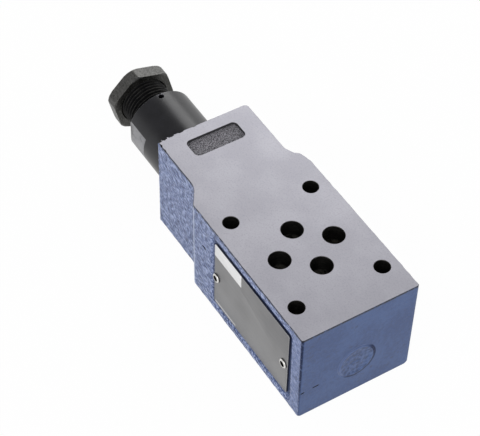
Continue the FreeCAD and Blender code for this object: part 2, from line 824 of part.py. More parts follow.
def adjusting_spindle():
    body = new_body("adjusting_spindle")
    seal_land = seal_bore_radius - sizes.thread_clearance
    seal_groove_floor = seal_bore_radius - 2 * sizes.seal_ring_radius + sizes.seal_play
    half_seal_groove = sizes.seal_ring_radius + sizes.seal_groove_play
    ring_groove_floor = seal_bore_radius - sizes.stop_ring_radius - sizes.stop_ring_sink
    nose_hole = sizes.spool_nose_radius + sizes.thread_clearance
    nose_hole_floor = spindle_inner - sizes.spool_nose_length - sizes.seal_play
    turn(body, "spindle_outline", [
        (spindle_outer, 0),
        (spindle_outer, sizes.spindle_radius - sizes.spindle_chamfer),
        (spindle_outer + sizes.spindle_chamfer, sizes.spindle_radius),
        (-spindle_thread_end, sizes.spindle_radius),
        (-spindle_thread_end, seal_land),
        (spindle_seal_place - half_seal_groove, seal_land),
        (spindle_seal_place - half_seal_groove, seal_groove_floor),
        (spindle_seal_place + half_seal_groove, seal_groove_floor),
        (spindle_seal_place + half_seal_groove, seal_land),
        (stop_ring_place - half_ring_groove, seal_land),
        (stop_ring_place - half_ring_groove, ring_groove_floor),
        (stop_ring_place + half_ring_groove, ring_groove_floor),
        (stop_ring_place + half_ring_groove, seal_land),
        (spindle_inner, seal_land),
        (spindle_inner, nose_hole),
        (nose_hole_floor, nose_hole),
        (nose_hole_floor, 0)])
    socket = new_sketch(body, "socket_outline", "YZ_Plane", lift=spindle_outer)
    draw_outline(socket, hexagon(sizes.socket_flats))
    pocket(body, "hexagon_socket", socket, sizes.socket_depth, backwards=True)
    on_bore_line(body, as_size(0))


def lock_nut():
    """Hexagon nut with its corners turned down, both faces bevelled and its thread countersunk."""
    body = new_body("lock_nut")
    blank_outline = new_sketch(body, "nut_outline", "YZ_Plane", lift=nut_outer)
    draw_outline(blank_outline, hexagon(sizes.nut_flats, sizes.nut_turn))
    pad(body, "nut_blank", blank_outline, sizes.nut_thickness)

    beyond = sizes.nut_flats
    corner_radius = sizes.nut_flats / 2 + sizes.nut_corner_rise
    face_radius = corner_radius - sizes.nut_bevel_width
    fall = sizes.nut_bevel_width * of_angle("tan", sizes.nut_bevel_angle)
    turn(body, "turned_corners", [
        (nut_outer, face_radius),
        (nut_outer, beyond),
        (nut_inner, beyond),
        (nut_inner, face_radius),
        (nut_inner - fall, corner_radius),
        (nut_outer + fall, corner_radius)], cut=True)

    bore = sizes.spindle_radius + sizes.thread_clearance
    mouth = bore + sizes.nut_countersink
    turn(body, "nut_bore", [
        (nut_outer, 0),
        (nut_outer, mouth),
        (nut_outer + sizes.nut_countersink, bore),
        (nut_inner - sizes.nut_countersink, bore),
        (nut_inner, mouth),
        (nut_inner, 0)], cut=True)
    on_bore_line(body, as_size(0))


# Closing plug in the end face, with its ring

def bore_plug():
    body = new_body("bore_plug")
    outer = front_length + sizes.plug_proud
    inner = front_length - sizes.plug_length
    half_groove = sizes.small_ring_radius + sizes.seal_groove_play
    groove_floor = sizes.plug_radius - 2 * sizes.small_ring_radius + sizes.seal_play
    groove_place = inner + sizes.plug_groove_place + half_groove
    plug = turn(body, "plug_outline", [
        (inner, 0),
        (inner, sizes.plug_radius),
        (groove_place - half_groove, sizes.plug_radius),
        (groove_place - half_groove, groove_floor),
        (groove_place + half_groove, groove_floor),
        (groove_place + half_groove, sizes.plug_radius),
        (outer, sizes.plug_radius),
        (outer, 0)])

    def face_edge(edge):
        box = edge.BoundBox
        return near(box.XMin, outer.value) and near(box.XLength, 0)

    bevel_edges(body, "plug_bevel", plug, face_edge, sizes.plug_bevel)
    bind(body, "Placement.Base.z", sizes.bore_height)

    half_play = sizes.seal_play / 2
    seal = ring("plug_seal", sizes.plug_radius - sizes.small_ring_radius + half_play,
                sizes.small_ring_radius - half_play)
    bind(seal, "Placement.Base.x", groove_place)
    bind(seal, "Placement.Base.z", sizes.bore_height)


# Seals and stop ring

def bore_line_rings():
    half_play = sizes.seal_play / 2
    spindle_seal = ring("spindle_seal", seal_bore_radius - sizes.seal_ring_radius + half_play,
                        sizes.seal_ring_radius - half_play)
    on_bore_line(spindle_seal, spindle_seal_place)
    stop_ring = ring("stop_ring", seal_bore_radius, sizes.stop_ring_radius)
    on_bore_line(stop_ring, stop_ring_place)
    sleeve_seal = ring("sleeve_seal", seal_seat_radius - sizes.seal_ring_radius - sizes.seal_play,
                       sizes.seal_ring_radius)
    on_bore_line(sleeve_seal, seal_seat_depth / 2)


def port_seal(letter):
    """Ring in the counterbore of one port, at its fitted height, flush with the bottom face."""
    body = new_body(f"port_seal_{letter}")
    sketch = new_sketch(body, f"port_seal_{letter}_outline", "XZ_Plane")
    outer = counterbore_radius - sizes.seal_play
    draw_outline(sketch, rectangle((outer - sizes.port_seal_width, as_size(0)), (outer, port_seal_height)))
    blank = body.newObject("PartDesign::Revolution", f"port_seal_{letter}_blank")
    blank.Profile = sketch
    blank.ReferenceAxis = (sketch, ["V_Axis"])
    blank.Angle = 360
    round_edges(body, f"port_seal_{letter}_rounds", blank,
                lambda edge: near(edge.BoundBox.ZLength, 0), (port_seal_height - sizes.port_seal_land) / 2)
    x, y = port_places[letter]
    bind(body, "Placement.Base.x", x)
    bind(body, "Placement.Base.y", y)


# Name plate and its rivets

def name_plate():
    body = new_body("name_plate")
    sketch = new_sketch(body, "plate_outline", "XZ_Plane", lift=-recess_floor_y)
    draw_outline(sketch, rectangle((plate_rear, plate_bottom), (plate_front, plate_top)))
    blank = pad(body, "plate_blank", sketch, sizes.plate_thickness)

    def corner(edge):
        return near(edge.BoundBox.YLength, sizes.plate_thickness.value)

    round_edges(body, "plate_corners", blank, corner, sizes.plate_corner_radius)
    holes = new_sketch(body, "plate_hole_circles", "XZ_Plane")
    for place in (rivet_rear_x, rivet_front_x):
        draw_circle(holes, (place, rivet_z), sizes.rivet_pin_radius + sizes.thread_clearance)
    pocket(body, "plate_holes", holes)


def plate_rivet(name, place):
    """Drive rivet with a domed head that has a round eye, driven through the plate."""
    body = new_body(name)
    pin_end = sizes.plate_thickness + sizes.rivet_pin_depth
    eye_floor = sizes.rivet_eye_depth - sizes.rivet_head_height
    turn(body, f"{name}_turning", [
        (pin_end, 0),
        (pin_end, sizes.rivet_pin_radius),
        (0, sizes.rivet_pin_radius),
        (0, sizes.rivet_head_radius),
        (-sizes.rivet_rim_height, sizes.rivet_head_radius),
        (-sizes.rivet_shoulder_height, sizes.rivet_shoulder_radius),
        (-sizes.rivet_head_height, sizes.rivet_crown_radius),
        (-sizes.rivet_head_height, sizes.rivet_eye_radius),
        (eye_floor, sizes.rivet_eye_radius),
        (eye_floor, 0)])
    body.Placement = Placement(Vector(), Rotation(Vector(0, 0, 1), 90))
    bind(body, "Placement.Base.x", place)
    bind(body, "Placement.Base.y", plate_face_y)
    bind(body, "Placement.Base.z", rivet_z)


def build():
    housing()
    control_spool()
    damping_nozzle()
    spring_plates()
    main_spring()
    adjusting_sleeve()
    adjusting_spindle()
    lock_nut()
    bore_plug()
    bore_line_rings()
    for letter in port_places:
        port_seal(letter)
    name_plate()
    plate_rivet("plate_rivet_rear", rivet_rear_x)
    plate_rivet("plate_rivet_front", rivet_front_x)
    doc.recompute()


NODES = ["housing", "control_spool", "damping_nozzle", "spool_seat", "spindle_seat", "main_spring",
         "adjusting_sleeve", "adjusting_spindle", "lock_nut", "bore_plug", "plug_seal", "spindle_seal",
         "stop_ring", "sleeve_seal", "port_seal_p", "port_seal_t", "port_seal_a", "port_seal_b",
         "name_plate", "plate_rivet_rear", "plate_rivet_front"]


def write_parts():
    failed = [item.Name for item in doc.Objects if {"Invalid", "Error"} & set(item.State)]
    if failed:
        raise RuntimeError(f"not built: {failed}")
    nodes = [doc.getObjectsByLabel(label)[0] for label in NODES]
    for node in nodes:
        if node.Shape.isNull() or not node.Shape.isValid():
            raise RuntimeError(f"{node.Label} has no valid shape")
    os.makedirs("parts", exist_ok=True)
    for node in nodes:
        node.Shape.exportStep(f"parts/{node.Label}.step")
        box = node.Shape.BoundBox
        print(f"{node.Label}: {len(node.Shape.Solids)} solid, {node.Shape.Volume:.1f} mm3, "
              f"X {box.XMin:.2f} to {box.XMax:.2f}, Z {box.ZMin:.2f} to {box.ZMax:.2f}")


build()
write_parts()
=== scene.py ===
import bmesh
import bpy
import math
from mathutils import Matrix, Vector, noise


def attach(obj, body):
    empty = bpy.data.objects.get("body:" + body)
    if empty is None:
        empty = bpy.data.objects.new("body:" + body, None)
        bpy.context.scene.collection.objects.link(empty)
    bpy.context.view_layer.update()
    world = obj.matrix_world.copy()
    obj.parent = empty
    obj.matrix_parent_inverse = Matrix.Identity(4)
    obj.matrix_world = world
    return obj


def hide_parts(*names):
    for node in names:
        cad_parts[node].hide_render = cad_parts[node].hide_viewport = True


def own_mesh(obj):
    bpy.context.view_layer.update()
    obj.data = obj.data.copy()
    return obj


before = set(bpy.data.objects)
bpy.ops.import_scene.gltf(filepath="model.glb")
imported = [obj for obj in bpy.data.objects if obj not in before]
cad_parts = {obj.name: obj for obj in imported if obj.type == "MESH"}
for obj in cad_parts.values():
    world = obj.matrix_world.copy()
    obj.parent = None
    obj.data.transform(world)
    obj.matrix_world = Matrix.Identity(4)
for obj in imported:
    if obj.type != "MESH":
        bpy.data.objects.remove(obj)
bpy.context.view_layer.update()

# Housing finishes: grey cast iron, painted blue on its cast sides. The top and bottom are ground
# after the paint, the pocket keeps the bare skin of the casting, and the holes are drilled clean.
# Places and sizes are in millimetres from the middle of the bottom face; meshes are in metres.

MM = 0.001
BLOCK_HEIGHT = 40.0
FRONT_X = 31.4
HALF_WIDTH = 22.2
BORE_HEIGHT = 15.6


class Wire:
    """An output of a shader node. Arithmetic on it adds Math nodes to its material."""

    def __init__(self, tree, socket):
        self.tree = tree
        self.socket = socket

    def add(self, kind, sockets, output=None, **settings):
        """Add a node of a kind: its settings first, then values or links by socket name or number."""
        node = self.tree.nodes.new(kind)
        for setting, value in settings.items():
            setattr(node, setting, value)
        inputs = [socket for socket in node.inputs if socket.enabled]
        for name, value in sockets.items():
            number = name if isinstance(name, int) else [socket.name for socket in inputs].index(name)
            if isinstance(value, Wire):
                self.tree.links.new(value.socket, inputs[number])
            else:
                inputs[number].default_value = value
        outputs = [socket for socket in node.outputs
                   if socket.enabled and output in (None, socket.name)]
        return Wire(self.tree, outputs[0] if outputs else None)

    def __add__(self, other):
        return self.add("ShaderNodeMath", {0: self, 1: other}, operation="ADD")

    __radd__ = __add__

    def __rsub__(self, other):
        return self.add("ShaderNodeMath", {0: other, 1: self}, operation="SUBTRACT")

    def __mul__(self, other):
        return self.add("ShaderNodeMath", {0: self, 1: other}, operation="MULTIPLY")


def larger(first, second):
    """The larger of two masks at each place."""
    return first.add("ShaderNodeMath", {0: first, 1: second}, operation="MAXIMUM")


def new_finish(name):
    """A new material and the wire that carries the place on the piece, in millimetres."""
    material = bpy.data.materials.new(name)
    material.use_nodes = True
    material.node_tree.nodes.clear()
    place = Wire(material.node_tree, None).add("ShaderNodeTexCoord", {}, output="Object")
    return material, place.add("ShaderNodeVectorMath", {0: place, "Scale": 1 / MM}, operation="SCALE")


def stretched(place, x, y, z):
    """The place with each direction multiplied, for grain that runs one way."""
    return place.add("ShaderNodeVectorMath", {0: place, 1: (x, y, z)}, operation="MULTIPLY")


def along(place, direction):
    """How far a place lies along a direction."""
    return place.add("ShaderNodeVectorMath", {0: place, 1: direction}, operation="DOT_PRODUCT")


def from_bore(place):
    """How far a place lies from the line of the bore."""
    return place.add("ShaderNodeVectorMath", {0: stretched(place, 0, 1, 1), 1: (0, 0, BORE_HEIGHT)},
                     output="Value", operation="DISTANCE")


def grain(place, scale, detail=3.0, roughness=0.55):
    """Noise from about 0 to 1 with a number of features per millimetre."""
    return place.add("ShaderNodeTexNoise", {"Vector": place, "Scale": scale, "Detail": detail,
                                            "Roughness": roughness})


def rise(value, start, end):
    """0 up to the start, 1 from the end on, and smooth between them."""
    return value.add("ShaderNodeMapRange", {"Value": value, "From Min": start, "From Max": end},
                     interpolation_type="SMOOTHSTEP")


def band(value, start, full, fading, end):
    """1 from full to fading, and 0 before the start and after the end."""
    return rise(value, start, full) * rise(value, end, fading)


def mixed(mask, without, with_it):
    """One colour where the mask is 0 and another where it is 1."""
    return mask.add("ShaderNodeMix", {"Factor": mask, "A": without, "B": with_it}, data_type="RGBA")


def lay_on(place, height=None, **sockets):
    """Lay the surface on: values or wires by socket name, and its grain's height in millimetres."""
    surface = {name.replace("_", " "): value for name, value in sockets.items()}
    if height:
        surface["Normal"] = place.add("ShaderNodeBump", {"Height": height, "Distance": MM})
    shader = place.add("ShaderNodeBsdfPrincipled", surface)
    place.add("ShaderNodeOutputMaterial", {"Surface": shader})


STREAK_LEAN = -0.35
DEEP_BLUE, BLUE = (0.034, 0.067, 0.184, 1), (0.052, 0.098, 0.242, 1)

painted_iron, place = new_finish("painted cast iron")
lengthwise = along(place, (1, 0, 0))
sideways = along(place, (0, 1, 0))
upward = along(place, (0, 0, 1))
off_bore = from_bore(place)
depth = place.add("ShaderNodeAttribute", {}, output="Fac", attribute_name="cast_depth")
cloud = grain(place, 0.07, 2.0)
mottle = grain(place, 0.7, 4.0, 0.6)
leaning = place.add("ShaderNodeVectorRotate", {"Vector": place, "Angle": STREAK_LEAN},
                    rotation_type="Y_AXIS")
wrinkle = grain(stretched(leaning, 0.32, 1.0, 1.05), 2.0, 2.0, 0.65)
speck = grain(stretched(place, 0.6, 1.0, 1.0), 2.4, 2.0)

long_walls = rise(sideways * sideways, 20.0 ** 2, 21.45 ** 2)
rough = larger(long_walls, rise(lengthwise, 10.0, -10.0))
rough = rough * rise(lengthwise, FRONT_X - 0.1, FRONT_X - 0.3)
wrinkle_shade_highlight = rough * (0.85 - rise(lengthwise, 25.5, 27.0) * 0.45)
paint = mixed(rise(cloud * 0.5 + mottle * 0.5, 0.38, 0.62), DEEP_BLUE, BLUE)
# Painted sheen, shade and highlight on the wrinkled walls: the rough skin is painted lighter as sheen,
# the wrinkle troughs and the deep hollows of the cast skin darker as shade, and the wrinkle ridges
# lighter as highlight.
paint = mixed(rough * 0.70, paint, (0.166, 0.218, 0.420, 1))
paint = mixed(rise(wrinkle, 0.48, 0.41) * wrinkle_shade_highlight, paint, (0.028, 0.044, 0.120, 1))
paint = mixed(rise(wrinkle, 0.51, 0.58) * wrinkle_shade_highlight, paint, (0.430, 0.500, 0.730, 1))
paint = mixed(rise(depth, 0.70, 1.0) * 0.6, paint, (0.035, 0.052, 0.120, 1))
paint = mixed(rise(speck, 0.64, 0.74) * 0.4, paint, (0.045, 0.062, 0.130, 1))

# Painted highlight: a light line down the rounded outer edge of the step.
step_ridge_highlight = band(lengthwise, -35.4, -34.9, -34.1, -33.7) * rise(sideways, -20.0, -20.6)
paint = mixed(step_ridge_highlight * rise(mottle, 0.95, 0.42), paint, (0.54, 0.61, 0.77, 1))
# Painted shade: a dark line down the corner between the front end and the plate side, fainter near the
# bottom.
corner = rise(lengthwise, FRONT_X - 0.8, FRONT_X - 0.5)
corner = corner * rise(sideways, 1.0 - HALF_WIDTH, 0.6 - HALF_WIDTH)
corner = corner * rise(mottle, 0.75, 0.50) * (0.35 + rise(upward, 4.0, 20.0) * 0.60)
paint = mixed(corner, paint, (0.010, 0.020, 0.062, 1))

# Painted shade on the lower part of the plug's ring line, and a painted highlight on its upper part.
front_end = rise(lengthwise, FRONT_X - 0.4, FRONT_X - 0.2)
plug_line = band(off_bore, 6.2, 6.45, 7.3, 7.6) * front_end
lower_side = along(place, (0, 0.75, -0.66)) + 0.66 * BORE_HEIGHT
plug_shade = plug_line * rise(lower_side, -1.0, 2.0) * 0.95
paint = mixed(plug_shade, paint, (0.008, 0.017, 0.062, 1))
paint = mixed(plug_line * rise(lower_side, 0.0, -3.5) * 0.45, paint, (0.130, 0.175, 0.330, 1))
plug_face = rise(off_bore, 6.4, 6.0) * front_end
paint = mixed(plug_face * rise(mottle, 0.52, 0.40) * 0.6, paint, (0.020, 0.036, 0.095, 1))
paint = mixed(plug_face * rise(mottle, 0.50, 0.64) * 0.4, paint, (0.110, 0.155, 0.300, 1))

# Painted shade: the paint inside the name plate recess is darker, where the plate and the recess walls
# shade it.
recess_shade = band(lengthwise, -23.0, -22.0, 26.2, 26.6) * band(sideways, -21.7, -21.2, -16.0, -15.0)
paint = mixed(recess_shade * band(upward, 2.0, 4.0, 36.6, 37.0) * 0.7, paint, (0.020, 0.030, 0.075, 1))
top_edge = rise(upward, BLOCK_HEIGHT - 0.8, BLOCK_HEIGHT - 0.5) * rise(mottle, 0.72, 0.52)
paint = mixed(top_edge * 0.9, paint, (0.012, 0.014, 0.022, 1))
# Metallic rises on the painted shade of the corner and of the plug, so that these dark lines stay dark
# in reflections.
lay_on(place, mottle * 0.08 + wrinkle * rough * 0.40 + speck * 0.03, Base_Color=paint,
       Roughness=0.36 + mottle * 0.16, Metallic=larger(plug_shade, corner), Specular_IOR_Level=0.4)

ground_iron, place = new_finish("ground iron")
cloud = grain(place, 0.05, 3.0)
fine = grain(place, 1.7, 3.0, 0.75)
stroke = grain(stretched(place, 0.5, 6.0, 1.0), 1.2, 3.0, 0.6)
metal = mixed(rise(cloud, 0.35, 0.68), (0.295, 0.291, 0.329, 1), (0.345, 0.340, 0.380, 1))
metal = mixed(rise(fine, 0.50, 0.66) * 0.5, metal, (0.218, 0.215, 0.243, 1))
metal = mixed(rise(stroke, 0.50, 0.75) * 0.25, metal, (0.43, 0.425, 0.463, 1))
lay_on(place, fine * 0.010 + stroke * 0.005, Base_Color=metal, Roughness=0.30 + fine * 0.12,
       Metallic=0.35)

bare_casting, place = new_finish("bare casting")
lumps = grain(place, 1.6, 4.0, 0.75)
grit = grain(place, 3.2, 2.0, 0.7)
skin = mixed(rise(lumps, 0.40, 0.56), (0.030, 0.029, 0.034, 1), (0.17, 0.166, 0.185, 1))
skin = mixed(rise(grit, 0.50, 0.60) * 0.85, skin, (0.44, 0.43, 0.47, 1))
# Painted shade: the pocket's walls, just under the top face, are darkened.
pocket_wall_shade = rise(along(place, (0, 0, 1)), BLOCK_HEIGHT - 1.10, BLOCK_HEIGHT - 0.85)
skin = mixed(pocket_wall_shade * 0.85, skin, (0.012, 0.012, 0.014, 1))
lay_on(place, lumps * 0.35 + grit * 0.20, Base_Color=skin, Roughness=0.60 + grit * 0.2, Metallic=0.4)

# Drilled iron: its near-black tone is painted shade for the walls of the deep holes and for the knocks
# that take this finish.
drilled_iron, place = new_finish("drilled iron")
rings = grain(stretched(place, 0.4, 0.4, 5.0), 1.0, 2.0)
smudge = grain(place, 0.35, 3.0)
metal = mixed(rise(rings, 0.42, 0.66), (0.026, 0.025, 0.023, 1), (0.055, 0.053, 0.048, 1))
metal = mixed(rise(smudge, 0.48, 0.68) * 0.6, metal, (0.012, 0.011, 0.010, 1))
# Painted light: a lighter strip on the hole walls some millimetres below the top face.
painted_lit_strip = band(BLOCK_HEIGHT - along(place, (0, 0, 1)), 5.8, 7.4, 10.0, 11.0) * rise(smudge, 0.35, 0.60)
metal = mixed(painted_lit_strip, metal, (0.30, 0.28, 0.24, 1))
lay_on(place, rings * 0.02, Base_Color=metal, Roughness=0.38 + smudge * 0.2, Metallic=0.9)

# Housing casting: a block with a narrower neck, poured in sand with a little draft. Its long walls
# keep the wrinkled skin of the mould, and the front end is smoother.

NECK_X = -65.5
NECK_HALF_WIDTH = 17.8
DRAFT = 0.5
WALL_PITCH = 0.55
EDGE_BREAK = 0.18
CAST_RELIEF = 0.15
SMOOTH_BY_FRONT = 1.5
SMOOTH_BY_SLEEVE = 13.4
PAINTED, GROUND, BARE, DRILLED = range(4)
HOUSING_FINISHES = (painted_iron, ground_iron, bare_casting, drilled_iron)


def rounded_outline(corners, pitch):
    """Closed line of points through corners given as (x, y, radius), about a pitch apart."""
    arcs = []
    for index, (x, y, radius) in enumerate(corners):
        corner = Vector((x, y))
        back = (Vector(corners[index - 1][:2]) - corner).normalized()
        ahead = (Vector(corners[(index + 1) % len(corners)][:2]) - corner).normalized()
        half = back.angle(ahead) / 2
        centre = corner + (back + ahead).normalized() * radius / math.sin(half)
        start = corner + back * radius / math.tan(half) - centre
        turn = start.angle_signed(corner + ahead * radius / math.tan(half) - centre)
        steps = max(3, round(abs(turn) * radius / pitch))
        arcs.append([centre + Matrix.Rotation(-turn * step / steps, 2) @ start
                     for step in range(steps + 1)])
    line = []
    for index, arc in enumerate(arcs):
        line += arc
        run = arcs[(index + 1) % len(arcs)][0] - arc[-1]
        steps = max(1, round(run.length / pitch))
        line += [arc[-1] + run * step / steps for step in range(1, steps)]
    return line


def inset(line, distance):
    """A closed line with each point moved into it by a distance, or by a function of the point."""
    moved = []
    for index, point in enumerate(line):
        tangent = line[(index + 1) % len(line)] - line[index - 1]
        inward = Vector((-tangent.y, tangent.x)).normalized()
        moved.append(point + inward * (distance(point, inward) if callable(distance) else distance))
    return moved


def piece_of(name, shape):
    """Turn the shape into a piece of the scene."""
    mesh = bpy.data.meshes.new(name)
    shape.to_mesh(mesh)
    shape.free()
    piece = bpy.data.objects.new(name, mesh)
    bpy.context.scene.collection.objects.link(piece)
    return piece


def solid(name, rings, finish=0, closed=False):
    """Mesh between rings of points, capped at both ends unless its last ring joins its first."""
    shape = bmesh.new()
    loops = [[shape.verts.new(Vector(point) * MM) for point in ring] for ring in rings]
    for low, high in list(zip(loops, loops[1:])) + ([(loops[-1], loops[0])] if closed else []):
        count = max(len(low), len(high))
        for index in range(count):
            following = (index + 1) % count
            corners = [low[index % len(low)], low[following % len(low)],
                       high[following % len(high)], high[index % len(high)]]
            shape.faces.new(list(dict.fromkeys(corners)))
    for ring in [] if closed else (loops[0], loops[-1]):
        if len(ring) > 2:
            shape.faces.new(ring)
    for face in shape.faces:
        face.material_index = finish
    bmesh.ops.recalc_face_normals(shape, faces=shape.faces)
    return piece_of(name, shape)


plan = rounded_outline([
    (NECK_X, -NECK_HALF_WIDTH, 0.6),
    (-41.2, -NECK_HALF_WIDTH, 6.5),
    (-34.4, -HALF_WIDTH, 2.5),
    (FRONT_X, -HALF_WIDTH, 0.8),
    (FRONT_X, HALF_WIDTH, 0.8),
    (-31.6, HALF_WIDTH, 1.5),
    (-36.3, 21.05, 1.0),
    (-37.7, 19.35, 1.5),
    (-41.1, NECK_HALF_WIDTH, 1.5),
    (NECK_X, NECK_HALF_WIDTH, 1.5)], WALL_PITCH)


def cast_depth(x, y, z):
    """How deep the sand cast skin lies under the outline: coarse wrinkles with finer grain on them."""
    place = Vector((x * 0.5, y, z))
    wrinkles = noise.fractal(place * 0.80, 0.9, 2.1, 3, noise_basis="PERLIN_ORIGINAL")
    swell = noise.noise(place * 0.16)
    return min(1.0, max(0.0, 0.5 - 0.62 * wrinkles - 0.25 * swell))


def wall_ring(height, edge_break):
    """The outline at one height, drawn in by the draft, the broken edge and the cast skin."""
    def drawn_in(point, inward):
        lean = DRAFT * (1 - height / BLOCK_HEIGHT) * abs(inward.y)
        off_front = min(1.0, (FRONT_X - point.x) / SMOOTH_BY_FRONT)
        from_sleeve = math.hypot(point.x - NECK_X, point.y, height - BORE_HEIGHT)
        off_sleeve = min(1.0, from_sleeve - SMOOTH_BY_SLEEVE)
        cast = max(0.0, min(off_front, off_sleeve))
        return lean + edge_break + CAST_RELIEF * cast * cast_depth(point.x, point.y, height)
    return [(point.x, point.y, height) for point in inset(plan, drawn_in)]


rows = round(BLOCK_HEIGHT / WALL_PITCH)
heights = [EDGE_BREAK + (BLOCK_HEIGHT - 2 * EDGE_BREAK) * row / rows for row in range(rows + 1)]
housing = solid("housing_body", [
    wall_ring(0, EDGE_BREAK), *[wall_ring(height, 0) for height in heights],
    wall_ring(BLOCK_HEIGHT, EDGE_BREAK)], PAINTED)
for finish in HOUSING_FINISHES:
    housing.data.materials.append(finish)
for face in housing.data.polygons:
    if abs(face.normal.z) > 0.9:
        face.material_index = GROUND

# Holes of the valve pattern: four bolt holes, three ports right through, and the pressure port
# in two blind halves that the spool joins. The bottom ends have seats for the sealing rings.

BOLT_PLACES = [(-21.5, 15.5), (-21.5, -15.5), (19.0, 16.25), (19.0, -16.25)]
PORT_P, PORT_T, PORT_A, PORT_B = (0.0, 10.4), (0.0, -10.4), (-8.8, 0.0), (8.7, 0.0)
BOLT_HOLE, PORT_HOLE = 2.75, 3.75
RIM_BREAK = 0.12
SEAT_RADIUS, SEAT_DEPTH = 6.45, 1.4
PRESSURE_DEPTH = 9.6
BEYOND = 1.0


def turned(start, direction, profile, count=64):
    """Rings about a line, from pairs of the distance along it and the radius there."""
    start, direction = Vector(start), Vector(direction)
    side = direction.orthogonal().normalized()
    up = direction.cross(side)
    rings = []
    for distance, radius in profile:
        angles = [2 * math.pi * step / count for step in range(count if radius else 1)]
        centre = start + direction * distance
        rings.append([centre + radius * (side * math.cos(angle) + up * math.sin(angle))
                      for angle in angles])
    return rings


def drill(place, profile, count=64):
    """Upright cutter at a place, from pairs of height and radius, closed to a point at both ends."""
    profile = [(profile[0][0], 0), *profile, (profile[-1][0], 0)]
    return solid("drill", turned((*place, 0), (0, 0, 1), profile, count), DRILLED)


def top_rim(radius):
    """The broken rim that a hole has in the top face."""
    return [(BLOCK_HEIGHT - RIM_BREAK, radius), (BLOCK_HEIGHT, radius + RIM_BREAK),
            (BLOCK_HEIGHT + BEYOND, radius + RIM_BREAK)]


bolt_mouth = [(-BEYOND, BOLT_HOLE + RIM_BREAK), (0, BOLT_HOLE + RIM_BREAK), (RIM_BREAK, BOLT_HOLE)]
tools = [drill(place, bolt_mouth + top_rim(BOLT_HOLE)) for place in BOLT_PLACES]
tools += [drill(place, [(-BEYOND, PORT_HOLE)] + top_rim(PORT_HOLE))
          for place in (PORT_T, PORT_A, PORT_B)]
tools += [drill(PORT_P, [(BLOCK_HEIGHT - PRESSURE_DEPTH, PORT_HOLE)] + top_rim(PORT_HOLE)),
          drill(PORT_P, [(-BEYOND, PORT_HOLE), (PRESSURE_DEPTH, PORT_HOLE)])]
tools += [drill(place, [(-BEYOND, SEAT_RADIUS), (SEAT_DEPTH, SEAT_RADIUS)], 96)
          for place in (PORT_P, PORT_T, PORT_A, PORT_B)]

# Bores in line with the spindle: thread and chamber from the neck end, the spool bore with its
# three ring grooves, and the blind bore of the closing plug in the front end. Slanting channels
# join them to the ports.

SLEEVE_SEAT, SLEEVE_THREAD, CHAMBER = 11.7, 11.0, 9.2
SEAT_END, CHAMBER_START = NECK_X + 2.2, NECK_X + 14.0
SPOOL_BORE, RING_GROOVE, GROOVE_WIDTH = 5.0, 7.0, 4.0
SPOOL_BORE_START, SPOOL_BORE_END = -45.0, -15.25
GROOVE_STARTS = (-41.0, -33.0, -24.0)
PLUG_BORE, PLUG_BORE_END = 6.68, 20.4
CHANNEL, TANK_DROP, DRAIN = 2.6, 1.8, 1.2
CHANNEL_START, TANK_HEIGHT, PILOT_START = 6.6, 26.8, 8.6
INLET_MOUTH, OUTLET_MOUTH, PILOT_MOUTH = (-22.0, 5.8, 11.0), (-31.0, 4.5, 21.2), (21.4, 3.0, 18.0)
TANK_MOUTH, DRAIN_MOUTH, DRAIN_END = (-39.0, -4.0), (-46.0, -7.0), (-39.0, -7.0)


def along_bore(profile, count=96):
    """Rings about the line of the bore, from (x, radius) pairs."""
    return turned((0, 0, BORE_HEIGHT), (1, 0, 0), profile, count)


stepped = [(NECK_X - BEYOND, 0), (NECK_X - BEYOND, SLEEVE_SEAT), (SEAT_END, SLEEVE_SEAT),
           (SEAT_END, SLEEVE_THREAD), (CHAMBER_START, SLEEVE_THREAD), (CHAMBER_START, CHAMBER),
           (SPOOL_BORE_START, CHAMBER), (SPOOL_BORE_START, SPOOL_BORE)]
for start in GROOVE_STARTS:
    stepped += [(start, SPOOL_BORE), (start, RING_GROOVE), (start + GROOVE_WIDTH, RING_GROOVE),
                (start + GROOVE_WIDTH, SPOOL_BORE)]
stepped += [(SPOOL_BORE_END, SPOOL_BORE), (SPOOL_BORE_END, 0)]
plug_seat = [(PLUG_BORE_END, 0), (PLUG_BORE_END, PLUG_BORE),
             (FRONT_X + BEYOND, PLUG_BORE), (FRONT_X + BEYOND, 0)]
tools += [solid("stepped_bore", along_bore(stepped), DRILLED),
          solid("plug_bore", along_bore(plug_seat), DRILLED)]


def channel(start, end, radius, finish=DRILLED):
    """Round cutter from one point to another."""
    run = Vector(end) - Vector(start)
    profile = [(0, 0), (0, radius), (run.length, radius), (run.length, 0)]
    return solid("channel", turned(start, run.normalized(), profile, 40), finish)


tools += [
    channel((*PORT_P, CHANNEL_START), INLET_MOUTH, CHANNEL),
    channel((*PORT_P, BLOCK_HEIGHT - CHANNEL_START), OUTLET_MOUTH, CHANNEL),
    channel((*PORT_T, TANK_HEIGHT), (*TANK_MOUTH, TANK_HEIGHT), CHANNEL),
    channel((*TANK_MOUTH, TANK_HEIGHT + 1.0), (*TANK_MOUTH, BORE_HEIGHT), TANK_DROP),
    channel((*DRAIN_MOUTH, BORE_HEIGHT), (*DRAIN_END, BORE_HEIGHT), DRAIN),
    channel(PILOT_MOUTH, (*PORT_P, BLOCK_HEIGHT - PILOT_START), DRAIN)]

# Shallow pocket cast into the top of the neck, the recess for the name plate in the side, small
# knocks that the casting took in handling, and the blunt lower corners of its front end.

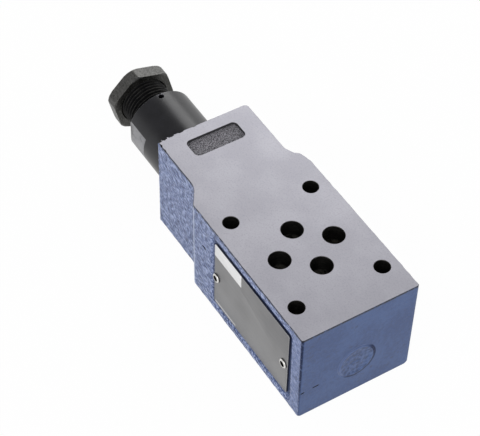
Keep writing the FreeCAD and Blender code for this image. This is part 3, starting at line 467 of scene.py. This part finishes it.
POCKET_REAR, POCKET_FRONT, POCKET_HALF_WIDTH = -60.4, -52.3, 9.95
POCKET_CORNER, POCKET_FLOOR = 1.9, BLOCK_HEIGHT - 1.3
RECESS_REAR, RECESS_FRONT, RECESS_LOW, RECESS_HIGH = -23.5, 26.1, 1.1, 36.8
RECESS_CORNER, RECESS_FLOOR_Y, LOW_WALL_SLOPE = 2.0, -20.5, 1.3
RIVET_X, RIVET_Z, RIVET_HOLE = (-20.2, 21.0), 16.9, 1.03
CORNER_CUTTER = 5.0


def rounded_box(low, high, radius, pitch):
    """Rounded rectangle from its lowest corner to its highest."""
    return rounded_outline([(low[0], low[1], radius), (high[0], low[1], radius),
                            (high[0], high[1], radius), (low[0], high[1], radius)], pitch)


pocket_line = rounded_box((POCKET_REAR, -POCKET_HALF_WIDTH), (POCKET_FRONT, POCKET_HALF_WIDTH),
                          POCKET_CORNER, 0.4)
pocket_steps = [(POCKET_FLOOR, 0.5), (POCKET_FLOOR + 0.15, 0.22), (POCKET_FLOOR + 0.5, 0.08),
                (BLOCK_HEIGHT - 0.15, 0.0), (BLOCK_HEIGHT + BEYOND, 0.0)]
tools.append(solid("pocket_core", [[(point.x, point.y, height) for point in inset(pocket_line, step)]
                                   for height, step in pocket_steps], BARE))
recess_line = rounded_box((RECESS_REAR, RECESS_LOW), (RECESS_FRONT, RECESS_HIGH), RECESS_CORNER, 0.8)


def recess_ring(y, slope):
    """Outline of the recess at one depth: its rear and lower walls slope, the others stand square."""
    length = 1 - slope / (RECESS_FRONT - RECESS_REAR)
    height = 1 - slope * LOW_WALL_SLOPE / (RECESS_HIGH - RECESS_LOW)
    return [(RECESS_FRONT - (RECESS_FRONT - point.x) * length, y,
             RECESS_HIGH - (RECESS_HIGH - point.y) * height) for point in recess_line]


tools.append(solid("recess_core", [recess_ring(y, slope) for y, slope in (
    (RECESS_FLOOR_Y, 1.50), (RECESS_FLOOR_Y - 0.25, 1.35), (-21.3, 0.95), (-21.8, 0.35),
    (-HALF_WIDTH, 0.0), (-HALF_WIDTH - BEYOND, 0.0))], PAINTED))
tools += [channel((x, RECESS_FLOOR_Y - 0.5, RIVET_Z), (x, RECESS_FLOOR_Y + 1.5, RIVET_Z), RIVET_HOLE)
          for x in RIVET_X]


def knock(centre, size, finish=BARE):
    """Rough lump that takes a chip out of the casting."""
    shape = bmesh.new()
    bmesh.ops.create_icosphere(shape, subdivisions=3, radius=1.0)
    for vertex in shape.verts:
        swell = 1.0 + 0.45 * noise.noise(vertex.co * 1.7 + Vector(centre))
        vertex.co = (Vector(centre) + Vector(size) * swell * vertex.co) * MM
    for face in shape.faces:
        face.material_index = finish
    return piece_of("knock", shape)


def combine(body, tools, operation="DIFFERENCE"):
    """Cut the tools out of the body one after another, or cut off what lies outside them."""
    for tool in tools:
        for material in body.data.materials:
            tool.data.materials.append(material)
        step = body.modifiers.new("step", "BOOLEAN")
        step.operation = operation
        step.solver = "MANIFOLD"
        step.object = tool
        evaluated = body.evaluated_get(bpy.context.evaluated_depsgraph_get())
        shaped = bpy.data.meshes.new_from_object(evaluated)
        body.modifiers.remove(step)
        body.data = shaped
        bpy.data.objects.remove(tool)


def smooth(piece, angle=32.0):
    """Shade smoothly over edges that turn by less than an angle in degrees."""
    piece.data.shade_smooth()
    piece.data.set_sharp_from_angle(angle=math.radians(angle))


# Knocks with the drilled finish take its near-black tone, which is painted shade in the chips.
tools += [knock((NECK_X + 0.3, -NECK_HALF_WIDTH + 0.8, BLOCK_HEIGHT), (0.9, 0.8, 0.9), DRILLED),
          knock((NECK_X + 0.2, -15.2, BLOCK_HEIGHT), (0.8, 1.0, 0.8), DRILLED),
          knock((NECK_X, -12.4, BLOCK_HEIGHT), (0.7, 1.3, 0.9), DRILLED),
          knock((NECK_X - 0.1, -8.6, BLOCK_HEIGHT), (0.7, 1.5, 0.7)),
          knock((NECK_X - 0.1, -3.5, BLOCK_HEIGHT), (0.6, 1.2, 0.6)),
          knock((-63.0, -NECK_HALF_WIDTH, BLOCK_HEIGHT), (0.7, 0.6, 0.7), DRILLED),
          knock((-60.4, -NECK_HALF_WIDTH, BLOCK_HEIGHT), (0.9, 0.4, 0.4)),
          knock((-27.5, -HALF_WIDTH + 0.1, 25.5), (1.2, 0.5, 0.35), DRILLED),
          knock((FRONT_X + 0.05, -20.6, 12.2), (0.35, 0.7, 0.3), DRILLED),
          knock((FRONT_X + 0.05, -15.6, 12.6), (0.35, 1.3, 0.3), DRILLED),
          channel((31.1, 21.15, 0.65), (32.9, 24.15, -3.35), CORNER_CUTTER, PAINTED),
          channel((31.2, -21.45, 0.40), (33.2, -23.45, -3.60), CORNER_CUTTER, PAINTED)]
combine(housing, tools)
relief = housing.data.attributes.new("cast_depth", "FLOAT", "POINT")
relief.data.foreach_set("value", [cast_depth(*(vertex.co / MM)) for vertex in housing.data.vertices])
smooth(housing)
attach(housing, "housing")
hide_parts("housing")

# Closing plug: a turned plug with a sealing ring, pressed into the front end and painted over
# with the block, so that only its fine ring line shows.

PLUG_RADIUS, PLUG_GROOVE = 6.65, 5.3
PLUG_FACE_X, LIP_LIMIT_X = 31.5, 31.74
PAINT_SWELL = 0.10

lip = [(31.36, PLUG_RADIUS), (31.42, 6.95), (31.52, 6.90), (31.62, 6.72), (31.68, 6.48), (31.70, 6.2),
       (31.67, 5.9), (31.62, 5.6), (31.55, 5.2)]
face_rings = [(PLUG_FACE_X, 0.4 + 0.6 * ring) for ring in range(7, -1, -1)]
plug = solid("closing_plug", along_bore([
    (23.4, 0), (23.4, PLUG_RADIUS - 0.2), (23.6, PLUG_RADIUS), (24.6, PLUG_RADIUS), (24.6, PLUG_GROOVE),
    (26.6, PLUG_GROOVE), (26.6, PLUG_RADIUS), *lip, *face_rings, (PLUG_FACE_X, 0)]))
for vertex in plug.data.vertices:
    if vertex.co.x > (PLUG_FACE_X - 0.05) * MM:
        swell = PAINT_SWELL * MM * noise.noise(vertex.co / MM * 0.9)
        vertex.co.x = min(vertex.co.x + swell, LIP_LIMIT_X * MM)
plug.data.materials.append(painted_iron)
smooth(plug)
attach(plug, "housing")
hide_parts("bore_plug")

# Control spool with its damping nozzle, and the two plates of the main spring: turned and
# ground steel parts that slide in the bore.


def edge(place, radius):
    """1 on the edges of a piece, falling to 0 about a radius away from them."""
    rounded = place.add("ShaderNodeBevel", {"Radius": radius * MM}, samples=6)
    flat = place.add("ShaderNodeNewGeometry", {}, output="Normal")
    return rise(along(rounded, flat), 0.995, 0.93)


def dress(finish, *names):
    """Give a finish to solids that stay as they are."""
    for name in names:
        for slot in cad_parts[name].material_slots:
            slot.material = finish


bright_steel, place = new_finish("ground steel")
rings = grain(stretched(place, 4.0, 0.3, 0.3), 1.0, 2.0)
haze = grain(place, 0.3, 3.0)
metal = mixed(rise(haze, 0.35, 0.7), (0.56, 0.55, 0.53, 1), (0.66, 0.65, 0.63, 1))
metal = mixed(edge(place, 0.2) * 0.6, metal, (0.80, 0.80, 0.78, 1))
lay_on(place, rings * 0.004, Base_Color=metal, Roughness=0.18 + rings * 0.12, Metallic=1.0)
dress(bright_steel, "control_spool", "damping_nozzle", "spool_seat", "spindle_seat")

# Main spring and stop ring: oil-hardened spring wire, wound cold and blued by the heat.
# The spring is one coil cut in two halves that meet in its middle.

SPRING_REAR, SPRING_FRONT = -69.5, -48.2
SPRING_MIDDLE = (SPRING_REAR + SPRING_FRONT) / 2

spring_steel, place = new_finish("spring wire")
haze = grain(place, 0.5, 3.0)
draw = grain(place, 3.0, 2.0)
metal = mixed(rise(haze, 0.3, 0.7), (0.10, 0.10, 0.115, 1), (0.20, 0.19, 0.18, 1))
metal = mixed(rise(draw, 0.55, 0.7) * 0.4, metal, (0.32, 0.31, 0.30, 1))
lay_on(place, draw * 0.006, Base_Color=metal, Roughness=0.28 + haze * 0.2, Metallic=0.95)
dress(spring_steel, "stop_ring")


def spring_half(name, side):
    """The coil on one side of the spring's middle, as a piece of its own."""
    shape = bmesh.new()
    shape.from_mesh(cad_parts["main_spring"].data)
    bmesh.ops.remove_doubles(shape, verts=shape.verts, dist=0.001 * MM)
    cut = bmesh.ops.bisect_plane(
        shape, geom=[*shape.verts, *shape.edges, *shape.faces], clear_outer=True,
        plane_co=(SPRING_MIDDLE * MM, 0, 0), plane_no=(side, 0, 0))["geom_cut"]
    cut_edges = [part for part in cut if isinstance(part, bmesh.types.BMEdge)]
    bmesh.ops.edgeloop_fill(shape, edges=cut_edges)
    half = piece_of(name, shape)
    half.data.materials.clear()
    half.data.materials.append(spring_steel)
    smooth(half)
    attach(half, "housing")
    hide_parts("main_spring")
    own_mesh(half)


spring_half("spring_coil_rear", 1)
spring_half("spring_coil_front", -1)

# Adjusting sleeve: turned from bar with a thread that screws into the neck, black oxide finish.
# Its outer end has two flats for a spanner and a small cross hole at the top.

SLEEVE_RADIUS, SLEEVE_FLAT, SLEEVE_BORE = 12.85, 11.85, 9.03
SLEEVE_END, FLAT_START, FLAT_TOP = -95.5, -84.5, 31.0
CROSS_HOLE_X = -93.9
CROSS_HOLE = [(20.0, 0), (20.0, 1.0), (28.25, 1.0), (28.5, 1.3), (30.0, 1.3), (30.0, 0)]

blackened_steel, place = new_finish("black oxide steel")
haze = grain(place, 0.22, 4.0, 0.6)
tooling = grain(stretched(place, 7.0, 0.2, 0.2), 1.0, 2.0)
speck = grain(place, 2.6, 3.0)
rim = edge(place, 0.30)
oxide = mixed(rise(haze, 0.3, 0.75), (0.003, 0.003, 0.005, 1), (0.007, 0.007, 0.010, 1))
oxide = mixed(rise(speck, 0.62, 0.74) * 0.5, oxide, (0.022, 0.022, 0.026, 1))
oxide = mixed(rim * rise(speck, 0.30, 0.55), oxide, (0.20, 0.20, 0.22, 1))
# Painted reflection: the milled flat on the plate side is painted light grey, as the bright floor
# mirrored in it.
flat_reflection = rise(along(place, (0, -1, 0)), SLEEVE_FLAT - 0.05, SLEEVE_FLAT - 0.01)
flat_reflection = flat_reflection * rise(along(place, (1, 0, 0)), FLAT_START + 0.2, FLAT_START - 0.1)
oxide = mixed(flat_reflection * rise(haze, 0.20, 0.55), oxide, (0.250, 0.250, 0.264, 1))
lay_on(place, tooling * 0.004 + speck * 0.003, Base_Color=oxide, Roughness=0.24 + haze * 0.14,
       Metallic=rim * 0.6, Specular_IOR_Level=0.38)

sleeve = solid("adjusting_sleeve_body", along_bore([
    (-52.0, 8.8), (-52.0, 10.6), (-52.4, 10.97), (SEAT_END, 10.97), (SEAT_END, 9.62), (NECK_X, 9.62),
    (NECK_X, SLEEVE_RADIUS - 0.15), (NECK_X - 0.15, SLEEVE_RADIUS), (-76.0, SLEEVE_RADIUS),
    (FLAT_START, SLEEVE_RADIUS), (SLEEVE_END + 0.4, SLEEVE_RADIUS), (SLEEVE_END, SLEEVE_RADIUS - 0.4),
    (SLEEVE_END, SLEEVE_BORE + 0.4), (SLEEVE_END + 0.4, SLEEVE_BORE), (-81.0, SLEEVE_BORE),
    (-81.0, 8.0), (-73.5, 8.0), (-73.5, 8.8)], 144), closed=True)
sleeve.data.materials.append(blackened_steel)


def block(low, high):
    """Rectangular cutter between two corners."""
    corners = [(low[0], low[1]), (high[0], low[1]), (high[0], high[1]), (low[0], high[1])]
    return solid("block", [[(x, y, z) for x, y in corners] for z in (low[2], high[2])])


combine(sleeve, [
    block((SLEEVE_END - BEYOND, SLEEVE_FLAT, 0.0), (FLAT_START, SLEEVE_RADIUS + BEYOND, FLAT_TOP)),
    block((SLEEVE_END - BEYOND, -SLEEVE_RADIUS - BEYOND, 0.0), (FLAT_START, -SLEEVE_FLAT, FLAT_TOP)),
    solid("cross_hole", turned((CROSS_HOLE_X, 0, 0), (0, 0, 1), CROSS_HOLE, 40))])
smooth(sleeve)
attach(sleeve, "housing")
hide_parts("adjusting_sleeve")

# Adjusting spindle: a stud with a rolled fine thread, a hexagon socket in its outer end, and
# grooves for the seal and the stop ring at its inner end. Blackened steel, wet with oil.

THREAD_PITCH, THREAD_DEPTH, CREST_SHARE, FLANK_SHARE = 1.5, 0.92, 0.16, 0.70
RINGS_PER_PITCH, THREAD_SIDES = 12, 90
SPINDLE_RADIUS, STUD_END_RADIUS, SHANK_RADIUS = 9.0, 8.2, 7.97
SPINDLE_END, THREAD_END = -112.2, -87.0
SOCKET_CORNER, SOCKET_FLOOR, SOCKET_TURN = 5.7735, -105.2, 30.0

stud_steel, place = new_finish("oiled thread steel")
haze = grain(place, 0.25, 4.0, 0.6)
speck = grain(place, 2.2, 3.0, 0.6)
crest = rise(from_bore(place), SPINDLE_RADIUS - 0.25, SPINDLE_RADIUS - 0.02)
metal = mixed(rise(haze, 0.3, 0.7), (0.004, 0.004, 0.005, 1), (0.009, 0.009, 0.009, 1))
metal = mixed(crest * rise(speck, 0.35, 0.6) * 0.4, metal, (0.045, 0.043, 0.038, 1))
lay_on(place, speck * 0.008, Base_Color=metal, Roughness=0.30 + haze * 0.2, Metallic=0.3,
       Specular_IOR_Level=0.12)


def round_bore(x, radius, angle):
    """A point at a distance and an angle about the line of the bore."""
    return (x, radius * math.cos(angle), BORE_HEIGHT + radius * math.sin(angle))


def thread_ring(x):
    """The outline of the thread at one place along it, no wider than the bevel of the stud's end."""
    ring = []
    for step in range(THREAD_SIDES):
        from_crest = abs((x / THREAD_PITCH - step / THREAD_SIDES) % 1.0 - 0.5) * 2
        sunk = THREAD_DEPTH * min(1.0, max(0.0, (from_crest - CREST_SHARE) / FLANK_SHARE))
        radius = min(SPINDLE_RADIUS - sunk, STUD_END_RADIUS + (x - SPINDLE_END))
        ring.append(round_bore(x, radius, 2 * math.pi * step / THREAD_SIDES))
    return ring


def plain_rings(profile):
    """Plain rings that go on from those of the thread, from (x, radius) pairs."""
    return [[round_bore(x, radius, 2 * math.pi * step / THREAD_SIDES)
             for step in range(THREAD_SIDES if radius else 1)] for x, radius in profile]


count = round((THREAD_END - SPINDLE_END) / THREAD_PITCH * RINGS_PER_PITCH)
thread = [thread_ring(SPINDLE_END + (THREAD_END - SPINDLE_END) * ring / count)
          for ring in range(count + 1)]


def hexagon_rings(ends, corner, turn):
    """The two end outlines of a hexagon bar on the line of the bore, turned by an angle in degrees."""
    return [[round_bore(x, corner, math.radians(turn + 60 * side)) for side in range(6)] for x in ends]


spindle = solid("spindle_stud", plain_rings([(SPINDLE_END, 0)]) + thread + plain_rings([
    (THREAD_END, SHANK_RADIUS), (-78.44, SHANK_RADIUS), (-78.44, 6.27), (-76.06, 6.27),
    (-76.06, SHANK_RADIUS), (-73.2, SHANK_RADIUS), (-73.2, 7.3), (-72.1, 7.3), (-72.1, SHANK_RADIUS),
    (-71.9, SHANK_RADIUS), (-71.7, 7.8), (-71.7, 3.03), (-74.75, 3.03), (-74.75, 0)]))
spindle.data.materials.append(stud_steel)
combine(spindle, [solid("socket", hexagon_rings((SPINDLE_END - BEYOND, SOCKET_FLOOR), SOCKET_CORNER,
                                                SOCKET_TURN))])
smooth(spindle, 40.0)
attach(spindle, "spindle")
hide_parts("adjusting_spindle")

# Lock nut: a thin hexagon nut that is turned down the stud to hold the setting. Both faces are
# bevelled and its thread is countersunk; heat-darkened steel with its edges rubbed bright.

NUT_OUTER, NUT_INNER = -111.4, -106.4
NUT_FLATS, NUT_TURNED, NUT_FACE = 23.0, 12.7, 12.0
NUT_BEVEL = (NUT_TURNED - NUT_FACE) * math.tan(math.radians(30.0))
NUT_HOLE, COUNTERSINK = 9.03, 0.5
NUT_TURN = 44.5

burnished_steel, place = new_finish("darkened steel")
haze = grain(place, 0.25, 4.0, 0.6)
speck = grain(place, 1.6, 3.0, 0.6)
scuff = grain(stretched(place, 1.0, 3.0, 1.2), 0.8, 3.0)
rim = edge(place, 0.3)
metal = mixed(rise(haze, 0.3, 0.7), (0.034, 0.034, 0.031, 1), (0.060, 0.059, 0.055, 1))
metal = mixed(rise(scuff, 0.50, 0.72) * 0.6, metal, (0.15, 0.148, 0.142, 1))
# Painted light: the flats and the outer end are lighter than the face towards the sleeve.
flats_painted_light = rise(along(place, (1, 0, 0)), NUT_INNER - 0.04, NUT_INNER - 0.20)
metal = mixed(flats_painted_light * rise(speck, 0.30, 0.66) * 0.70, metal, (0.115, 0.114, 0.112, 1))
metal = mixed(rise(speck, 0.40, 0.28) * 0.5, metal, (0.014, 0.014, 0.013, 1))
metal = mixed(rim * rise(speck, 0.25, 0.55) * 0.5, metal, (0.24, 0.235, 0.225, 1))
lay_on(place, speck * 0.015 + scuff * 0.006, Base_Color=metal, Roughness=0.32 + haze * 0.2,
       Metallic=0.85)

nut = solid("lock_nut_body", hexagon_rings((NUT_OUTER, NUT_INNER), NUT_FLATS / math.sqrt(3), NUT_TURN))
nut.data.materials.append(burnished_steel)
combine(nut, [solid("turning", along_bore([
    (NUT_OUTER, 0), (NUT_OUTER, NUT_FACE), (NUT_OUTER + NUT_BEVEL, NUT_TURNED),
    (NUT_INNER - NUT_BEVEL, NUT_TURNED), (NUT_INNER, NUT_FACE), (NUT_INNER, 0)], 180))], "INTERSECT")
combine(nut, [solid("threaded_hole", along_bore([
    (NUT_OUTER - BEYOND, 0), (NUT_OUTER - BEYOND, NUT_HOLE + COUNTERSINK),
    (NUT_OUTER, NUT_HOLE + COUNTERSINK), (NUT_OUTER + COUNTERSINK, NUT_HOLE),
    (NUT_INNER - COUNTERSINK, NUT_HOLE), (NUT_INNER, NUT_HOLE + COUNTERSINK),
    (NUT_INNER + BEYOND, NUT_HOLE + COUNTERSINK), (NUT_INNER + BEYOND, 0)]))])
smooth(nut, 20.0)
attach(nut, "nut")
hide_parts("lock_nut")

# Sealing rings: moulded black rubber. Four lie in the seats of the ports, and one each in the
# grooves of the plug, the spindle and the sleeve.

seal_rubber, place = new_finish("seal rubber")
bloom = grain(place, 0.6, 4.0)
pores = grain(place, 5.0, 2.0)
rubber = mixed(rise(bloom, 0.4, 0.75), (0.014, 0.014, 0.015, 1), (0.035, 0.035, 0.036, 1))
lay_on(place, pores * 0.01, Base_Color=rubber, Roughness=0.42 + bloom * 0.25)
dress(seal_rubber, "plug_seal", "spindle_seal", "sleeve_seal",
      "port_seal_p", "port_seal_t", "port_seal_a", "port_seal_b")

# Name plate: thin brushed metal sheet with a plain light field and a thin light line printed on
# it, cut out by stamping and held in the recess by two rivets.

PLATE_REAR, PLATE_FRONT, PLATE_LOW, PLATE_HIGH = -21.8, 23.3, 3.3, 32.8
PLATE_CORNER, PLATE_FACE_Y, PLATE_BACK_Y = 0.8, -21.3, -20.5
FIELD_FRONT, FIELD_LOW = -5.2, 27.2
LINE_REAR, LINE_FRONT, LINE_LOW, LINE_HIGH = -21.1, -8.0, 4.0, 4.9
BLUR = 0.1


def gray(level):
    """A colour without a tint."""
    return (level, level, level, 1)


plate_metal, place = new_finish("brushed plate")
lengthwise = along(place, (1, 0, 0))
upward = along(place, (0, 0, 1))
brushing = grain(stretched(place, 0.05, 1.0, 6.0), 1.0, 3.0)
haze = grain(place, 0.06, 2.0)
metal = mixed(rise(haze, 0.35, 0.7), (0.175, 0.174, 0.178, 1), (0.210, 0.209, 0.212, 1))
metal = mixed(rise(brushing, 0.45, 0.7) * 0.35, metal, (0.29, 0.288, 0.29, 1))
field = rise(lengthwise, FIELD_FRONT, FIELD_FRONT - BLUR) * rise(upward, FIELD_LOW, FIELD_LOW + BLUR)
line = band(lengthwise, LINE_REAR, LINE_REAR + BLUR, LINE_FRONT - BLUR, LINE_FRONT)
line = line * band(upward, LINE_LOW, LINE_LOW + BLUR, LINE_HIGH - BLUR, LINE_HIGH)
printed = larger(field, line * 0.6)
# Painted highlight: a light line along the plate's rounded edges.
metal = mixed(edge(place, 0.35) * 0.7, metal, gray(0.62))
# Painted shade: the plate's cut sides are dark and not metallic.
cut_side_shade = rise(along(place, (0, 1, 0)), PLATE_FACE_Y + 0.06, PLATE_FACE_Y + 0.16)
metal = mixed(cut_side_shade, mixed(printed, metal, gray(0.82)), (0.012, 0.016, 0.034, 1))
lay_on(place, brushing * 0.004, Base_Color=metal, Roughness=0.36 + brushing * 0.10 + printed * 0.2,
       Metallic=(0.75 - printed * 0.75) * (1 - cut_side_shade))

plate_line = rounded_box((PLATE_REAR, PLATE_LOW), (PLATE_FRONT, PLATE_HIGH), PLATE_CORNER, 0.25)
plate_steps = [(PLATE_BACK_Y, 0.0), (PLATE_FACE_Y + 0.15, 0.0), (PLATE_FACE_Y + 0.04, 0.05),
               (PLATE_FACE_Y, 0.16)]
plate = solid("name_plate_sheet", [[(point.x, y, point.y) for point in inset(plate_line, step)]
                                   for y, step in plate_steps])
plate.data.materials.append(plate_metal)
punch = [(0, 0), (0, RIVET_HOLE), (4.0, RIVET_HOLE), (4.0, 0)]
combine(plate, [solid("plate_hole", turned((x, -23.0, RIVET_Z), (0, 1, 0), punch, 32))
                for x in RIVET_X])
smooth(plate)
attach(plate, "housing")
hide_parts("name_plate")

# Rivets: two drive rivets of cold-headed steel, plated bright, with a domed head and a round eye.
# They are driven through the plate into the side of the housing.

HEAD = [(1.8, 0), (2.1, 1.0), (0.0, 1.0), (0.0, 1.72), (-0.08, 1.82), (-0.22, 1.82), (-0.38, 1.75),
        (-0.52, 1.63), (-0.62, 1.50), (-0.69, 1.36), (-0.70, 1.24), (-0.66, 1.14), (-0.50, 1.08),
        (0.30, 1.00), (0.30, 0)]
EYE_RADIUS = 1.12

rivet_steel, place = new_finish("plated rivet")
haze = grain(place, 0.9, 3.0)
metal = mixed(rise(haze, 0.35, 0.7), (0.62, 0.61, 0.59, 1), (0.78, 0.77, 0.75, 1))
# Painted shade: the head darkens where it meets the plate, under its dome.
root_shade = rise(along(place, (0, 1, 0)), PLATE_FACE_Y - 0.44, PLATE_FACE_Y - 0.32)
metal = mixed(root_shade * 0.9, metal, (0.020, 0.020, 0.022, 1))
lay_on(place, haze * 0.01, Base_Color=metal, Roughness=0.20 + haze * 0.15, Metallic=1.0)

# Painted shade: the rivet's eye is near black, as the shade inside the hollow.
rivet_eye, place = new_finish("rivet eye")
eye_shade_grain = grain(place, 1.5, 3.0)
lay_on(place, eye_shade_grain * 0.01, Base_Color=mixed(eye_shade_grain, (0.002, 0.002, 0.002, 1), (0.006, 0.006, 0.006, 1)),
       Roughness=0.7 + eye_shade_grain * 0.2, Specular_IOR_Level=0.1)

for name, node, x in (("rivet_head_rear", "plate_rivet_rear", RIVET_X[0]),
                      ("rivet_head_front", "plate_rivet_front", RIVET_X[1])):
    rivet = solid(name, turned((x, PLATE_FACE_Y, RIVET_Z), (0, 1, 0), HEAD, 48))
    rivet.data.materials.append(rivet_steel)
    rivet.data.materials.append(rivet_eye)
    for face in rivet.data.polygons:
        from_middle = math.hypot(face.center.x / MM - x, face.center.z / MM - RIVET_Z)
        face.material_index = int(from_middle < EYE_RADIUS)
    smooth(rivet)
    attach(rivet, "housing")
    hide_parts(node)

# Studio stand: a pale cloth floor, white all round to the eye and to reflections, a large soft
# lamp over the plate side with two weaker ones behind, and the camera. Each lamp has its place,
# its width and the light that it throws on the part.

FLOOR_HALF, FLOOR_TOP, FLOOR_BOTTOM = 1500.0, -0.1, -4.0
LAMPS = [((400.0, -460.0, 520.0), 950.0, 0.56), ((-370.0, 270.0, 330.0), 240.0, 0.17),
         ((-200.0, 520.0, 240.0), 500.0, 0.14)]
AIM = (-20.0, 0.0, 20.0)
CAMERA_LENS, SENSOR_WIDTH = 132.76, 36.0
CAMERA_PLACE = (0.29891, -0.21956, 0.47126)
CAMERA_RIGHT, CAMERA_UP = (0.52493, 0.85092, 0.01956), (-0.64401, 0.38205, 0.66279)

floor_finish, place = new_finish("pale floor")
looked_at = place.add("ShaderNodeLightPath", {}, output="Is Camera Ray")
mirrored = place.add("ShaderNodeLightPath", {}, output="Is Glossy Ray")
cloth = place.add("ShaderNodeBsdfDiffuse", {"Color": gray(0.88), "Roughness": 0.5})
white = place.add("ShaderNodeEmission", {"Color": gray(1.0), "Strength": 1.0})
seen = place.add("ShaderNodeMixShader", {0: looked_at * 0.97 + mirrored, 1: cloth, 2: white})
place.add("ShaderNodeOutputMaterial", {"Surface": seen})
floor = solid("floor", [[(x * FLOOR_HALF, y * FLOOR_HALF, height)
                         for x, y in ((-1, -1), (1, -1), (1, 1), (-1, 1))]
                        for height in (FLOOR_BOTTOM, FLOOR_TOP)])
floor.data.materials.append(floor_finish)

world = bpy.data.worlds.new("studio")
bpy.context.scene.world = world
world.use_nodes = True
world.node_tree.nodes.clear()
start = Wire(world.node_tree, None)
looked_at, mirrored, passed = [
    start.add("ShaderNodeLightPath", {}, output=f"Is {kind} Ray")
    for kind in ("Camera", "Glossy", "Transmission")]
soft = start.add("ShaderNodeBackground", {"Color": gray(1.0), "Strength": 0.48})
white = start.add("ShaderNodeBackground", {"Color": gray(1.0), "Strength": 1.0})
direction = start.add("ShaderNodeTexCoord", {}, output="Generated")
overhead = rise(along(direction, (0, 0, 1)), 0.62, 0.90)
plate_side = rise(along(direction, (-0.45, -0.45, 0.77)), 0.72, 0.92)
shown = looked_at + mirrored * (1 - larger(overhead, plate_side)) + passed
sky = start.add("ShaderNodeMixShader", {0: shown, 1: soft, 2: white})
start.add("ShaderNodeOutputWorld", {"Surface": sky})

for number, (stand, width, level) in enumerate(LAMPS):
    lamp = bpy.data.lights.new(f"lamp_{number}", "AREA")
    reach = Vector(stand) - Vector(AIM)
    lamp.size = width * MM
    lamp.energy = level * 4 * math.pi * (reach.length * MM) ** 2
    holder = bpy.data.objects.new(f"lamp_{number}", lamp)
    holder.location = Vector(stand) * MM
    holder.rotation_euler = reach.to_track_quat("Z", "Y").to_euler()
    bpy.context.scene.collection.objects.link(holder)

camera = bpy.data.objects.new("camera", bpy.data.cameras.new("camera"))
camera.data.sensor_fit = "HORIZONTAL"
camera.data.sensor_width = SENSOR_WIDTH
camera.data.lens = CAMERA_LENS
camera.data.clip_start = 0.01
right, up = Vector(CAMERA_RIGHT).normalized(), Vector(CAMERA_UP).normalized()
turn = Matrix((right, up, right.cross(up))).transposed().to_4x4()
camera.matrix_world = Matrix.Translation(CAMERA_PLACE) @ turn
bpy.context.scene.collection.objects.link(camera)
bpy.context.scene.camera = camera
bpy.context.scene.view_settings.view_transform = "Standard"
